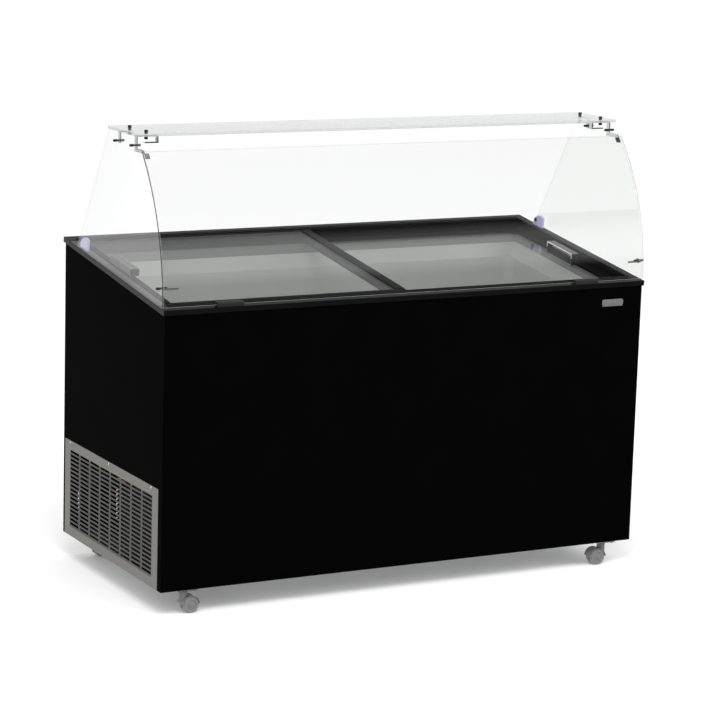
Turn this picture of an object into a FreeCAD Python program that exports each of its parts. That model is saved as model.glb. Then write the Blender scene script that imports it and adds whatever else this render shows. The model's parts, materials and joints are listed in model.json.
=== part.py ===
import FreeCAD, Part
import math
import os
import re
import Sketcher

# Ice-cream scooping chest freezer: a foamed cabinet with an inclined top, two sliding glass
# lids on two levels, a bolted glass canopy, a ventilated machine compartment and four casters.
#
# Frame: X runs along the front, from left to right; Y runs from front to back; Z is up.
# The origin is on the floor, under the middle of the cabinet.
# Pieces of the inclined top are made in a tilted frame of their own (u along X, v up the
# slope from the front edge, w square to it, zero on the rim) and then placed by tilted().

DIMENSIONS = (
    # The whole cabinet
    ("width", 1500),
    ("depth", 700),
    ("front_rim", 835),
    ("incline", 7.54),
    ("clearance", 70),
    ("overhang", 5),
    ("sheet", 1),
    ("pan_sheet", 2),
    ("vent_rows", 7),
    ("vent_columns", 2),
    ("vent_length", 105),
    ("vent_height", 6),
    ("vent_pitch_x", 120),
    ("vent_pitch_z", 14),
    ("pan_slots", 6),
    ("pan_slot_width", 16),
    ("pan_slot_length", 140),
    ("pan_slot_pitch", 36),
    # Rails of the inclined top and the throat below them
    ("rail_height", 15),
    ("rail_width", 50),
    ("rail_drop", 38),
    ("side_ledge", 27),
    ("rail_leg", 12),
    ("lip", 6),
    ("upper_track", 14),
    ("lower_track", 34),
    ("ridge_height", 2.5),
    ("ridge_width", 6),
    ("ridge_gap", 6),
    ("throat_bottom", 98),
    # Tub, insulation and machine compartment
    ("tub_side_wall", 79),
    ("tub_front_wall", 90),
    ("tub_floor", 140),
    ("tub_sheet", 1.2),
    ("tub_corner", 30),
    ("coil_pocket", 10),
    ("coil_radius", 4),
    ("coil_pitch", 60),
    ("coil_start", 430),
    ("coil_turns", 4),
    ("machine_width", 330),
    ("machine_height", 280),
    ("step_wall", 50),
    ("drain_x", 560),
    ("drain_radius", 12),
    ("drain_sleeve", 2),
    ("drain_spigot", 20),
    # Sliding lids
    ("lid_glass", 4),
    ("lid_step", 24),
    ("lid_gap", 1),
    ("runner_width", 8),
    ("runner_clearance", 0.3),
    ("bar_top", 2),
    ("bar_bottom", 5),
    ("meeting_bar", 28),
    ("meeting_edge", 2),
    ("left_end_bar", 17),
    ("right_end_bar", 34),
    ("handle_start", 300),
    ("handle_length", 140),
    ("handle_width", 26),
    ("handle_wall", 3),
    ("handle_cheek", 4),
    ("left_handle_height", 20),
    ("right_handle_height", 16.5),
    # Glass canopy
    ("arc_radius", 600),
    ("arc_back", 257),
    ("arc_height", 840),
    ("arc_sweep", 41.2),
    ("canopy_glass", 6),
    ("top_glass_thickness", 8),
    ("top_glass_height", 1268),
    ("top_glass_front", 165),
    ("top_glass_back", 40),
    ("side_glass_back", 250),
    ("side_glass_top_back", 35),
    ("glass_gap", 1),
    ("bracket", 3),
    ("strip", 14),
    ("bolt_radius", 2.5),
    ("top_head", 5),
    ("top_head_height", 7),
    ("side_head", 3.5),
    ("side_head_height", 11),
    ("front_bolt_y", 136),
    ("rear_bolt_y", 26),
    ("top_bolt_inset", 36),
    ("side_bolt_drop", 25),
    ("clip_bolt_y", 321),
    ("clip_height", 49),
    ("shoe_middle", 556),
    ("shoe_length", 76),
    ("shoe_height", 8),
    ("holder_back", 599),
    ("holder_length", 50),
    ("holder_height", 36),
    ("badge_right", 682),
    ("badge_length", 70),
    ("badge_bottom", 766),
    ("badge_height", 20),
    # Side grille and its screws
    ("grille_front", 320),
    ("grille_back", 335),
    ("grille_height", 279),
    ("slot_columns", 8),
    ("slot_rows", 18),
    ("slot_length", 62),
    ("slot_height", 7),
    ("slot_pitch_y", 73),
    ("slot_pitch_z", 12.4),
    ("screw_head", 4),
    ("screw_head_height", 2),
    # Refrigerating unit
    ("compressor_x", 560),
    ("compressor_y", 150),
    ("compressor_radius", 80),
    ("compressor_base", 84),
    ("stub_shift", 30),
    ("stub_reach", 95),
    ("discharge_height", 116),
    ("suction_height", 96),
    ("pipe_radius", 4),
    ("liquid_pipe_radius", 3),
    ("pipe_bend", 12),
    ("drier_radius", 10),
    ("drier_length", 90),
    ("condenser_gap", 9),
    ("condenser_size", 230),
    ("condenser_depth", 38),
    ("condenser_header", 9),
    ("fin_gaps", 24),
    ("fin_gap", 6),
    ("fin_pitch", 9),
    ("fin_gap_depth", 15),
    ("fan_y", 175),
    ("fan_z", 200),
    ("fan_radius", 88),
    ("fan_blades", 5),
    ("blade_length", 26),
    ("blade_thickness", 2),
    ("blade_twist", 32),
    ("hub_radius", 20),
    ("shroud_sheet", 2),
    ("shroud_depth", 56),
    ("arm_width", 20),
    ("arm_thickness", 3),
    ("shaft_radius", 3),
    ("shaft_clearance", 0.05),
    # Rear service recess
    ("recess_left", 700),
    ("recess_right", 540),
    ("recess_bottom", 200),
    ("recess_top", 270),
    ("recess_depth", 25),
    ("recess_wall", 2),
    ("thermostat_width", 48),
    ("thermostat_height", 44),
    ("thermostat_depth", 36),
    ("knob_x", 660),
    ("knob_radius", 16),
    ("gland_x", 580),
    ("gland_radius", 8),
    ("cable_radius", 4),
    # Casters
    ("caster_x", 666),
    ("caster_front", 315),
    ("caster_back", 300),
    ("caster_trail", 18),
    ("caster_plate_size", 60),
    ("caster_collar", 13),
    ("stem_radius", 5),
    ("axle_radius", 3),
    ("wheel_radius", 22.5),
    ("wheel_width", 14),
    ("wheel_gap", 0.4),
    ("hood_wall", 2.5),
    ("web", 6),
)

doc = FreeCAD.newDocument("scooping_freezer")
sheet = doc.addObject("Spreadsheet::Sheet", "Dims")
nodes = []


# ---------------------------------------------------------------- driving dimensions

def fill_sheet():
    """Write every driving dimension to the sheet, with its alias beside it."""
    for row, (alias, value) in enumerate(DIMENSIONS, start=1):
        sheet.set("A%d" % row, alias)
        sheet.set("B%d" % row, str(value))
        sheet.setAlias("B%d" % row, alias)
    doc.recompute()


ALIASES = {alias for alias, value in DIMENSIONS}


def linked(expression):
    """Put the sheet's name before every driving dimension in an expression."""
    def prefix(word):
        name = word.group()
        return "Dims." + name if name in ALIASES else name
    return re.sub(r"[a-z_]+[a-z_0-9]*", prefix, str(expression))


def value_of(expression):
    """The number that an expression gives now."""
    return float(sheet.evalExpression(linked(expression)))


def whole(expression):
    """The whole number that an expression gives now, for counting copies."""
    return round(value_of(expression))


def bind(thing, prop, expression):
    """Bind one property of a document object to the driving dimensions."""
    thing.setExpression(prop, linked(expression))


# Lengths that several sub-parts share, as expressions of the driving dimensions.
HALF_WIDTH = "(width / 2)"
PANEL_X = "(width / 2 - overhang)"
PANEL_Y = "(depth / 2 - overhang)"
CORE_X = "(width / 2 - overhang - sheet)"
CORE_Y = "(depth / 2 - overhang - sheet)"
CORE_Z = "(clearance + pan_sheet)"
SLOPE_LENGTH = "((depth - rail_height * sin(incline)) / cos(incline))"
OPENING_X = "(width / 2 - side_ledge)"
TUB_X = "(width / 2 - tub_side_wall)"
TUB_Y = "(depth / 2 - tub_front_wall)"
MACHINE_X = "(width / 2 - overhang - sheet - machine_width)"
MACHINE_Z = "(clearance + machine_height)"
RUNNER_FRONT = "(rail_width + lid_gap)"
MEETING_LEFT = "(-meeting_edge - meeting_bar)"
INNER_RADIUS = "(arc_radius - canopy_glass)"
SIDE_GLASS_X = "(width / 2 - canopy_glass)"
BRACKET_RADIUS = "(arc_radius - canopy_glass - glass_gap / 3)"
DRAIN_HOLE = "(drain_radius + drain_sleeve)"
CONDENSER_X = "(width / 2 - overhang - condenser_gap)"
SHROUD_X = "(width / 2 - overhang - condenser_gap - condenser_depth)"


def slope_height(y, w):
    """Height of the plane w above the rim (below it if negative) at the depth y."""
    return "(front_rim + (%s + depth / 2) * tan(incline) + (%s) / cos(incline))" % (y, w)


# ---------------------------------------------------------------- ways of making solids

TURN = {
    "X": FreeCAD.Rotation(FreeCAD.Vector(0, 1, 0), 90),
    "Y": FreeCAD.Rotation(FreeCAD.Vector(1, 0, 0), -90),
    "Z": FreeCAD.Rotation(),
}
PLANE_OF = {"X": "YZ_Plane", "Y": "XZ_Plane", "Z": "XY_Plane"}
TILT_START = FreeCAD.Rotation(FreeCAD.Vector(1, 0, 0), 1)


def place(thing, x, y, z):
    """Bind the position of a document object."""
    bind(thing, ".Placement.Base.x", x)
    bind(thing, ".Placement.Base.y", y)
    bind(thing, ".Placement.Base.z", z)


def block(name, x, y, z):
    """A box between two expressions along each axis."""
    box = doc.addObject("Part::Box", name)
    bind(box, "Length", "(%s) - (%s)" % (x[1], x[0]))
    bind(box, "Width", "(%s) - (%s)" % (y[1], y[0]))
    bind(box, "Height", "(%s) - (%s)" % (z[1], z[0]))
    place(box, x[0], y[0], z[0])
    return box


def rod(name, axis, radius, start, length):
    """A cylinder that runs from start along +X, +Y or +Z."""
    cylinder = doc.addObject("Part::Cylinder", name)
    bind(cylinder, "Radius", radius)
    bind(cylinder, "Height", length)
    cylinder.Placement = FreeCAD.Placement(FreeCAD.Vector(), TURN[axis])
    place(cylinder, *start)
    return cylinder


def join(name, *pieces):
    """One solid fused from several."""
    fused = doc.addObject("Part::MultiFuse", name)
    fused.Shapes = list(pieces)
    fused.Refine = True
    return fused


def cut(name, base, *tools):
    """A solid with one or more tools cut out of it."""
    result = doc.addObject("Part::Cut", name)
    result.Base = base
    result.Tool = tools[0] if len(tools) == 1 else join(name + "_tools", *tools)
    return result


def common(name, *pieces):
    """What several solids have in common."""
    shared = doc.addObject("Part::MultiCommon", name)
    shared.Shapes = list(pieces)
    return shared


def group(name, *pieces):
    """Separate solids kept together in one sub-part."""
    together = doc.addObject("Part::Compound", name)
    together.Links = list(pieces)
    return together


def mirrored(name, source):
    """The same piece on the other side of the middle plane."""
    mirror = doc.addObject("Part::Mirroring", name)
    mirror.Source = source
    mirror.Normal = FreeCAD.Vector(1, 0, 0)
    return mirror


def origin_plane(body, role):
    """One of a body's own origin planes."""
    return next(feature for feature in body.Origin.OriginFeatures if feature.Role == role)


def sketch_outline(body, axis, corners):
    """A closed outline of straight edges, every corner bound to the driving dimensions."""
    sketch = body.newObject("Sketcher::SketchObject", body.Name + "_sketch")
    sketch.AttachmentSupport = (origin_plane(body, PLANE_OF[axis]), [""])
    sketch.MapMode = "FlatFace"
    points = [FreeCAD.Vector(value_of(a), value_of(b), 0) for a, b in corners]
    count = len(points)
    for index, point in enumerate(points):
        sketch.addGeometry(Part.LineSegment(point, points[(index + 1) % count]), False)
    for index in range(count):
        sketch.addConstraint(Sketcher.Constraint("Coincident", index, 2, (index + 1) % count, 1))
    for index, corner in enumerate(corners):
        for kind, expression in zip(("DistanceX", "DistanceY"), corner):
            constraint = Sketcher.Constraint(kind, -1, 1, index, 1, value_of(expression))
            number = sketch.addConstraint(constraint)
            sketch.setExpression("Constraints[%d]" % number, linked(expression))
    return sketch


def prism(name, axis, corners, start, length):
    """A body padded from an outline: (y, z) corners along X, (x, z) along Y, (x, y) along Z."""
    body = doc.addObject("PartDesign::Body", name)
    sketch = sketch_outline(body, axis, corners)
    pad = body.newObject("PartDesign::Pad", name + "_pad")
    pad.Profile = sketch
    pad.Reversed = axis == "Y"
    bind(pad, "Length", length)
    bind(body, ".Placement.Base." + axis.lower(), start)
    doc.recompute()
    return body


def turned(name, corners):
    """A body turned about its own Z axis from an outline of (radius, height) corners."""
    body = doc.addObject("PartDesign::Body", name)
    sketch = sketch_outline(body, "Y", corners)
    revolution = body.newObject("PartDesign::Revolution", name + "_turn")
    revolution.Profile = sketch
    revolution.ReferenceAxis = (sketch, ["V_Axis"])
    revolution.Angle = 360
    doc.recompute()
    return body


def round_edges(body, direction, radius):
    """Round every straight edge of a body that runs along one direction."""
    base = body.Tip
    chosen = []
    for number, edge in enumerate(base.Shape.Edges, start=1):
        straight = edge.Curve.TypeId == "Part::GeomLine"
        if straight and abs(edge.tangentAt(0).dot(direction)) > 0.999:
            chosen.append("Edge%d" % number)
    fillet = body.newObject("PartDesign::Fillet", body.Name + "_rounding")
    fillet.Base = (base, chosen)
    bind(fillet, "Radius", radius)
    doc.recompute()
    return body


def tilted(thing, u="0", v="0", w="0"):
    """Lay a piece made in the tilted frame on the inclined top, with its own origin at (u, v, w)."""
    thing.Placement = FreeCAD.Placement(FreeCAD.Vector(), TILT_START)
    bind(thing, ".Placement.Rotation.Angle", "incline")
    back = "-depth / 2 + (%s) * cos(incline) - (%s) * sin(incline)" % (v, w)
    up = "front_rim + (%s) * sin(incline) + (%s) * cos(incline)" % (v, w)
    place(thing, u, back, up)
    return thing


def tilted_block(name, u, v, w):
    """A box between two expressions along each axis of the tilted frame."""
    return tilted(block(name, u, v, w), u[0], v[0], w[0])


def around_arc(thing, angle, x, radius, along):
    """Turn a piece to stand on the arc of the front glass, at an angle above its foot."""
    turn = FreeCAD.Rotation(FreeCAD.Vector(1, 0, 0), -value_of(angle))
    centre = FreeCAD.Vector(0, value_of("arc_back"), value_of("arc_height"))
    corner = FreeCAD.Vector(value_of(x), -value_of(radius), value_of(along))
    facing = turn.multiply(thing.Placement.Rotation)
    thing.Placement = FreeCAD.Placement(centre + turn.multVec(corner), facing)
    return thing


def subpart(thing):
    """Keep a finished piece as one of the sub-parts, under its own name."""
    thing.Label = thing.Name
    nodes.append(thing)
    return thing


def pipe(name, radius, bend, points):
    """A round pipe of straight runs joined by tangent arcs."""
    route = [FreeCAD.Vector(*[value_of(number) for number in point]) for point in points]
    bend_radius = value_of(bend)
    edges = []
    start = route[0]
    for before, corner, after in zip(route, route[1:], route[2:]):
        arriving = (corner - before).normalize()
        leaving = (after - corner).normalize()
        turn = arriving.getAngle(leaving)
        reach = bend_radius * math.tan(turn / 2)
        entry = corner - arriving * reach
        leave = corner + leaving * reach
        inward = (leaving - arriving).normalize()
        depth = bend_radius / math.cos(turn / 2) - bend_radius
        edges.append(Part.LineSegment(start, entry).toShape())
        edges.append(Part.Arc(entry, corner + inward * depth, leave).toShape())
        start = leave
    edges.append(Part.LineSegment(start, route[-1]).toShape())
    path = Part.Wire(edges)
    tube_radius = value_of(radius)
    section = Part.Wire([Part.makeCircle(tube_radius, route[0], (route[1] - route[0]).normalize())])
    feature = doc.addObject("Part::Feature", name)
    feature.Shape = path.makePipeShell([section], True, False)
    expected = math.pi * tube_radius ** 2 * path.Length
    if abs(feature.Shape.Volume - expected) > expected / 1000:
        raise ValueError("%s has the wrong volume" % name)
    return feature


# ---------------------------------------------------------------- cabinet

def front_panel():
    """The painted front sheet, from the base pan up to the front rail."""
    panel = block("front_panel", ("-" + PANEL_X, PANEL_X), ("-" + PANEL_Y, "-" + CORE_Y),
                  ("clearance", slope_height("-" + PANEL_Y, "-rail_height")))
    subpart(panel)


def rear_panel():
    """The rear sheet, with the service recess cut out and air slots by the machine."""
    panel = block("rear_panel_sheet", ("-" + PANEL_X, PANEL_X), (CORE_Y, PANEL_Y),
                  ("clearance", slope_height(CORE_Y, "-rail_height")))
    recess = block("recess_cutout", ("-recess_left", "-recess_right"), (CORE_Y, PANEL_Y),
                   ("recess_bottom", "recess_top"))
    slots = []
    for row in range(whole("vent_rows")):
        for column in range(whole("vent_columns")):
            left = "-recess_left + %d * vent_pitch_x" % column
            foot = "clearance + vent_pitch_x / 6 + %d * vent_pitch_z" % row
            slots.append(block("vent_%d_%d" % (row, column), (left, left + " + vent_length"),
                               (CORE_Y, PANEL_Y), (foot, foot + " + vent_height")))
    subpart(cut("rear_panel", panel, recess, *slots))


def side_sheet(name, corners):
    """A side sheet that follows the inclined top."""
    return prism(name, "X", corners, "-" + PANEL_X, "sheet")


def side_panels():
    """The right sheet is whole; the left one leaves the lower part open for the grille."""
    front_top = ("-" + CORE_Y, slope_height("-" + CORE_Y, "-rail_height"))
    back_top = (CORE_Y, slope_height(CORE_Y, "-rail_height"))
    front_foot = ("-" + CORE_Y, "clearance")
    back_foot = (CORE_Y, "clearance")
    grille_top = "clearance + grille_height"
    left = side_sheet("left_panel", (
        front_foot,
        ("-grille_front", "clearance"),
        ("-grille_front", grille_top),
        ("grille_back", grille_top),
        ("grille_back", "clearance"),
        back_foot,
        back_top,
        front_top,
    ))
    subpart(left)
    plain = side_sheet("right_panel_pattern", (front_foot, back_foot, back_top, front_top))
    subpart(mirrored("right_panel", plain))


def base_pan():
    """The galvanised floor of the cabinet, with the drain hole and air slots under the machine."""
    height = ("clearance", CORE_Z)
    pan = block("base_pan_sheet", ("-" + CORE_X, CORE_X), ("-" + CORE_Y, CORE_Y), height)
    hole = rod("base_pan_hole", "Z", DRAIN_HOLE, ("drain_x", "0", "clearance"), "pan_sheet")
    slots = []
    for number in range(whole("pan_slots")):
        left = "-%s + (%d + 5 / 3) * pan_slot_pitch" % (CORE_X, number)
        slots.append(block("pan_slot_%d" % number, (left, left + " + pan_slot_width"),
                           ("-fan_y - pan_slot_length / 2", "-fan_y + pan_slot_length / 2"), height))
    subpart(cut("base_pan", pan, hole, *slots))


def machine_wall():
    """The folded sheet that closes the machine compartment off from the insulation."""
    inner = "-" + MACHINE_X
    corners = (
        ("-" + CORE_X, MACHINE_Z + " - sheet"),
        (inner + " - sheet", MACHINE_Z + " - sheet"),
        (inner + " - sheet", CORE_Z),
        (inner, CORE_Z),
        (inner, MACHINE_Z),
        ("-" + CORE_X, MACHINE_Z),
    )
    subpart(prism("machine_wall", "Y", corners, "-" + CORE_Y, "2 * " + CORE_Y))


def tub_solid(name, grow, rounding):
    """The space of the tub, larger on every side by grow, stepped over the machine."""
    side = "%s + (%s)" % (TUB_X, grow)
    floor = "tub_floor - (%s)" % grow
    step_x = "-%s + step_wall - (%s)" % (MACHINE_X, grow)
    step_z = "%s + step_wall - (%s)" % (MACHINE_Z, grow)
    top = "front_rim + depth * tan(incline)"
    corners = (
        ("-(%s)" % side, step_z),
        (step_x, step_z),
        (step_x, floor),
        (side, floor),
        (side, top),
        ("-(%s)" % side, top),
    )
    depth = "%s + (%s)" % (TUB_Y, grow)
    body = prism(name, "Y", corners, "-(%s)" % depth, "2 * (%s)" % depth)
    return round_edges(body, FreeCAD.Vector(0, 0, 1), rounding)


def above_plane(name, w):
    """Everything above the tilted plane w, to trim the tub and the insulation with."""
    return tilted_block(name, ("-width", "width"), ("-depth", "2 * depth"), (w, w + " + depth"))


def inner_liner():
    """The rounded inner tub, open at the top, with a drain hole in its floor."""
    outer = tub_solid("liner_outside", "0", "tub_corner")
    inner = tub_solid("liner_inside", "-tub_sheet", "tub_corner - tub_sheet")
    hole = rod("liner_hole", "Z", "drain_radius - 1", ("drain_x", "0", "tub_floor - 1"), "tub_sheet + 2")
    trim = above_plane("liner_trim", "-throat_bottom")
    subpart(cut("inner_liner", outer, inner, trim, hole))


def foam_insulation():
    """The foamed core between the sheets, the machine wall and the tub."""
    core = block("foam_core", ("-" + CORE_X, CORE_X), ("-" + CORE_Y, CORE_Y),
                 (CORE_Z, "front_rim + depth * tan(incline)"))
    machine = block("foam_machine", ("-" + CORE_X, "-" + MACHINE_X), ("-" + CORE_Y, CORE_Y),
                    (CORE_Z, MACHINE_Z))
    throat = tilted_block("foam_throat",
                          ("-%s - rail_leg" % OPENING_X, "%s + rail_leg" % OPENING_X),
                          ("rail_width - 4", SLOPE_LENGTH + " - rail_width + 4"),
                          ("-throat_bottom", "rail_height"))
    hole = rod("foam_hole", "Z", DRAIN_HOLE, ("drain_x", "0", "clearance"), "tub_floor")
    tub = tub_solid("foam_tub", "coil_pocket", "tub_corner + coil_pocket")
    trim = above_plane("foam_trim", "-rail_height")
    subpart(cut("foam_insulation", core, machine, throat, hole, tub, trim))


def throat_collar():
    """The dark moulded frame that tapers from the lid opening to the tub."""
    outer = block("collar_outside",
                  ("-%s - rail_leg" % OPENING_X, "%s + rail_leg" % OPENING_X),
                  ("rail_width - 4", SLOPE_LENGTH + " - rail_width + 4"),
                  ("-throat_bottom", "-rail_drop"))
    funnel = doc.addObject("Part::Wedge", "collar_funnel")
    inset = "(rail_width + 2 * lip)"
    lower_shift = "(throat_bottom * sin(incline))"
    tub_edge = "(tub_front_wall + tub_sheet)"
    bind(funnel, "Ymin", "-throat_bottom")
    bind(funnel, "Ymax", "-rail_drop")
    bind(funnel, "Xmin", "-(%s - tub_sheet)" % TUB_X)
    bind(funnel, "Xmax", "%s - tub_sheet" % TUB_X)
    bind(funnel, "Zmin", "-((depth - %s - %s) / cos(incline))" % (tub_edge, lower_shift))
    bind(funnel, "Zmax", "-((%s - %s) / cos(incline))" % (tub_edge, lower_shift))
    bind(funnel, "X2min", "-(%s - lip)" % OPENING_X)
    bind(funnel, "X2max", "%s - lip" % OPENING_X)
    bind(funnel, "Z2min", "-(%s - %s)" % (SLOPE_LENGTH, inset))
    bind(funnel, "Z2max", "-" + inset)
    funnel.Placement = FreeCAD.Placement(FreeCAD.Vector(), FreeCAD.Rotation(FreeCAD.Vector(1, 0, 0), 90))
    subpart(tilted(cut("throat_collar", outer, funnel)))


def cross_rail(name, mirror):
    """The front rail's section: two ridges on top and two steps that carry the lids."""
    def across(distance):
        return "%s - (%s)" % (SLOPE_LENGTH, distance) if mirror else distance
    first = "rail_width - 2 * ridge_width - ridge_gap - 6"
    second = "rail_width - ridge_width - 6"
    section = (
        ("0", "-rail_height"),
        ("0", "-1"),
        ("1", "0"),
        (first, "0"),
        (first + " + 1", "ridge_height"),
        (first + " + ridge_width - 1", "ridge_height"),
        (first + " + ridge_width", "0"),
        (second, "0"),
        (second + " + 1", "ridge_height"),
        (second + " + ridge_width - 1", "ridge_height"),
        (second + " + ridge_width", "0"),
        ("rail_width", "0"),
        ("rail_width", "-upper_track"),
        ("rail_width + lip", "-upper_track"),
        ("rail_width + lip", "-lower_track"),
        ("rail_width + 2 * lip", "-lower_track"),
        ("rail_width + 2 * lip", "-rail_drop"),
        ("rail_width - 4", "-rail_drop"),
        ("rail_width - 4", "-rail_height"),
    )
    corners = tuple((across(distance), height) for distance, height in section)
    bar = prism(name + "_bar", "X", corners, "-" + HALF_WIDTH, "width")
    ends = []
    leg_end = "(%s + rail_leg)" % OPENING_X
    for part, inner, reach, height in (
        ("step", OPENING_X, ("rail_width", "rail_width + 2 * lip"), ("-rail_drop - 1", "1")),
        ("ridge", OPENING_X, ("2", "rail_width"), ("0", "ridge_height + 1")),
        ("leg", leg_end, ("rail_width - 4", "rail_width"), ("-rail_drop - 1", "-rail_height")),
    ):
        if mirror:
            reach = (across(reach[1]), across(reach[0]))
        ends.append(block("%s_%s_left" % (name, part), ("-" + HALF_WIDTH, "-" + inner), reach, height))
        ends.append(block("%s_%s_right" % (name, part), (inner, HALF_WIDTH), reach, height))
    return subpart(tilted(cut(name, bar, *ends)))


def side_rail():
    """The left side rail: a flat ledge with a leg down the opening; the right one mirrors it."""
    corners = (
        ("-" + HALF_WIDTH, "-rail_height"),
        ("-" + HALF_WIDTH, "-1"),
        ("-%s + 1" % HALF_WIDTH, "0"),
        ("-" + OPENING_X, "0"),
        ("-" + OPENING_X, "-rail_drop"),
        ("-%s - rail_leg" % OPENING_X, "-rail_drop"),
        ("-%s - rail_leg" % OPENING_X, "-rail_height"),
    )
    left = prism("left_top_rail", "Y", corners, "rail_width", SLOPE_LENGTH + " - 2 * rail_width")
    subpart(tilted(left, v="rail_width"))
    subpart(mirrored("right_top_rail", left))


def drain():
    """The drain tube through the insulation, with a hose spigot below, and the plug in the tub floor."""
    foot = "(clearance - drain_spigot)"
    sleeve = rod("drain_sleeve_tube", "Z", "drain_radius + drain_sleeve", ("drain_x", "0", "clearance"),
                 "tub_floor - clearance")
    spigot = rod("drain_spigot_tube", "Z", "drain_radius", ("drain_x", "0", foot), "drain_spigot")
    bore = rod("drain_tube_bore", "Z", "drain_radius - 2", ("drain_x", "0", foot), "tub_floor - " + foot)
    subpart(cut("drain_tube", join("drain_tube_blank", sleeve, spigot), bore))
    neck = "(drain_radius - 2.4)"
    flange = "(drain_radius + 6)"
    plug = turned("drain_plug", (
        ("0", "-20"),
        (neck + " - 1", "-20"),
        (neck, "-18"),
        (neck, "0.3"),
        (flange, "0.3"),
        (flange, "3"),
        (flange + " - 2", "5"),
        ("4", "5"),
        ("4", "12"),
        ("7", "14"),
        ("7", "18"),
        ("0", "18"),
    ))
    place(plug, "drain_x", "0", "tub_floor + tub_sheet")
    subpart(plug)


def evaporator_coil():
    """One pipe wound round the tub in a rising spiral."""
    across = "(%s + coil_pocket / 2)" % TUB_X
    back = "(%s + coil_pocket / 2)" % TUB_Y
    corners = ((across, back), (across, "-" + back), ("-" + across, "-" + back), ("-" + across, back))
    route = [("0", back, "coil_start")]
    for number in range(whole("4 * coil_turns")):
        rise = "coil_start + coil_pitch * %s / 4" % (number + 0.5)
        route.append(corners[number % 4] + (rise,))
    route.append(("0", back, "coil_start + coil_pitch * coil_turns"))
    subpart(pipe("evaporator_coil", "coil_radius", "tub_corner + coil_pocket / 2", route))


# ---------------------------------------------------------------- sliding lids

def lid(side, left, right, left_bar, right_bar, front, track, level):
    """One framed glass lid: runners front and back, a bar at each end, glass between."""
    back = "%s - (%s)" % (SLOPE_LENGTH, front)
    foot = "-%s + runner_clearance" % track
    top = "%s + bar_top - 1" % level
    inner_front = "%s + runner_width" % front
    inner_back = "%s - (%s)" % (SLOPE_LENGTH, inner_front)
    pieces = [
        block(side + "_front_runner", (left, right), (front, inner_front), (foot, top)),
        block(side + "_back_runner", (left, right), (inner_back, back), (foot, top)),
        block(side + "_left_bar", (left, "%s + %s" % (left, left_bar)), (inner_front, inner_back),
              (level + " - bar_bottom", level + " + bar_top")),
        block(side + "_right_bar", ("%s - %s" % (right, right_bar), right), (inner_front, inner_back),
              (level + " - bar_bottom", level + " + bar_top")),
    ]
    frame = join(side + "_lid_ring", *pieces)
    rebate = 3
    glass_x = ("%s + %s - %d" % (left, left_bar, rebate), "%s - %s + %d" % (right, right_bar, rebate))
    glass_y = ("%s - %d" % (inner_front, rebate), "%s + %d" % (inner_back, rebate))
    glass_z = (level + " - lid_glass", level)
    pocket = block(side + "_lid_pocket", glass_x, glass_y, glass_z)
    subpart(tilted(cut(side + "_lid_frame", frame, pocket)))
    subpart(tilted_block(side + "_lid_glass", glass_x, glass_y, glass_z))


def pull_handle(side, outer, towards, base, height):
    """A channel-shaped pull with a ridged top and an end cheek at each end."""
    def across(distance):
        return "%s + %d * (%s)" % (outer, towards, distance)
    corners = (
        (across("0"), base),
        (across("0"), "%s + %s - 1" % (base, height)),
        (across("1"), "%s + %s" % (base, height)),
        (across("8"), "%s + %s" % (base, height)),
        (across("9"), "%s + %s - 1" % (base, height)),
        (across("15"), "%s + %s - 1" % (base, height)),
        (across("16"), "%s + %s" % (base, height)),
        (across("handle_width - 1"), "%s + %s" % (base, height)),
        (across("handle_width"), "%s + %s - 1" % (base, height)),
        (across("handle_width"), "%s + %s - handle_wall - 1" % (base, height)),
        (across("handle_wall"), "%s + %s - handle_wall - 1" % (base, height)),
        (across("handle_wall"), "%s + 1.5" % base),
        (across("10"), "%s + 1.5" % base),
        (across("10"), base),
    )
    channel = prism(side + "_handle_channel", "Y", corners, "handle_start", "handle_length")
    edges = sorted((across("0"), across("handle_width")), key=value_of)
    cheeks = []
    for end, start in (("front", "handle_start"), ("back", "handle_start + handle_length - handle_cheek")):
        cheeks.append(block("%s_handle_%s" % (side, end), edges, (start, start + " + handle_cheek"),
                            (base, "%s + %s - 1" % (base, height))))
    subpart(tilted(join(side + "_lid_handle", channel, *cheeks)))


def lids():
    """The left lid slides on the upper track, the right one on the lower track."""
    lid("left", "-%s + lid_gap" % OPENING_X, "-meeting_edge", "left_end_bar", "meeting_bar",
        RUNNER_FRONT, "upper_track", "0")
    lid("right", MEETING_LEFT, "%s - lid_gap" % OPENING_X, "meeting_bar", "right_end_bar",
        "(%s + lip)" % RUNNER_FRONT, "lower_track", "(-lid_step)")
    pull_handle("left", "-%s + 5" % OPENING_X, 1, "bar_top", "left_handle_height")
    pull_handle("right", "%s - 6" % OPENING_X, -1, "(bar_top - lid_step)", "right_handle_height")
    seal_end = "(rail_width + 5 * lip)"
    seal = tilted_block("lid_gap_seal", (MEETING_LEFT, MEETING_LEFT + " + 8"),
                        (seal_end, "%s - %s" % (SLOPE_LENGTH, seal_end)),
                        ("bar_top - lid_step", "-bar_bottom - 1"))
    subpart(seal)


# ---------------------------------------------------------------- canopy

CLIP_Z = "(arc_height + clip_height)"
SIDE_BOLT_Z = "(top_glass_height - side_bolt_drop)"


def bolt(name, axis, start, grip, head, head_height, hole):
    """A through bolt with a round head at both ends, or only its hole."""
    if hole:
        return rod(name, axis, "bolt_radius + 0.3", start, grip)
    shank = rod(name + "_shank", axis, "bolt_radius", start, grip)
    near = rod(name + "_head", axis, head, start, head_height)
    far_start = list(start)
    far_start["XYZ".index(axis)] += " + %s - %s" % (grip, head_height)
    far = rod(name + "_nut", axis, head, far_start, head_height)
    return join(name, shank, near, far)


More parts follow.
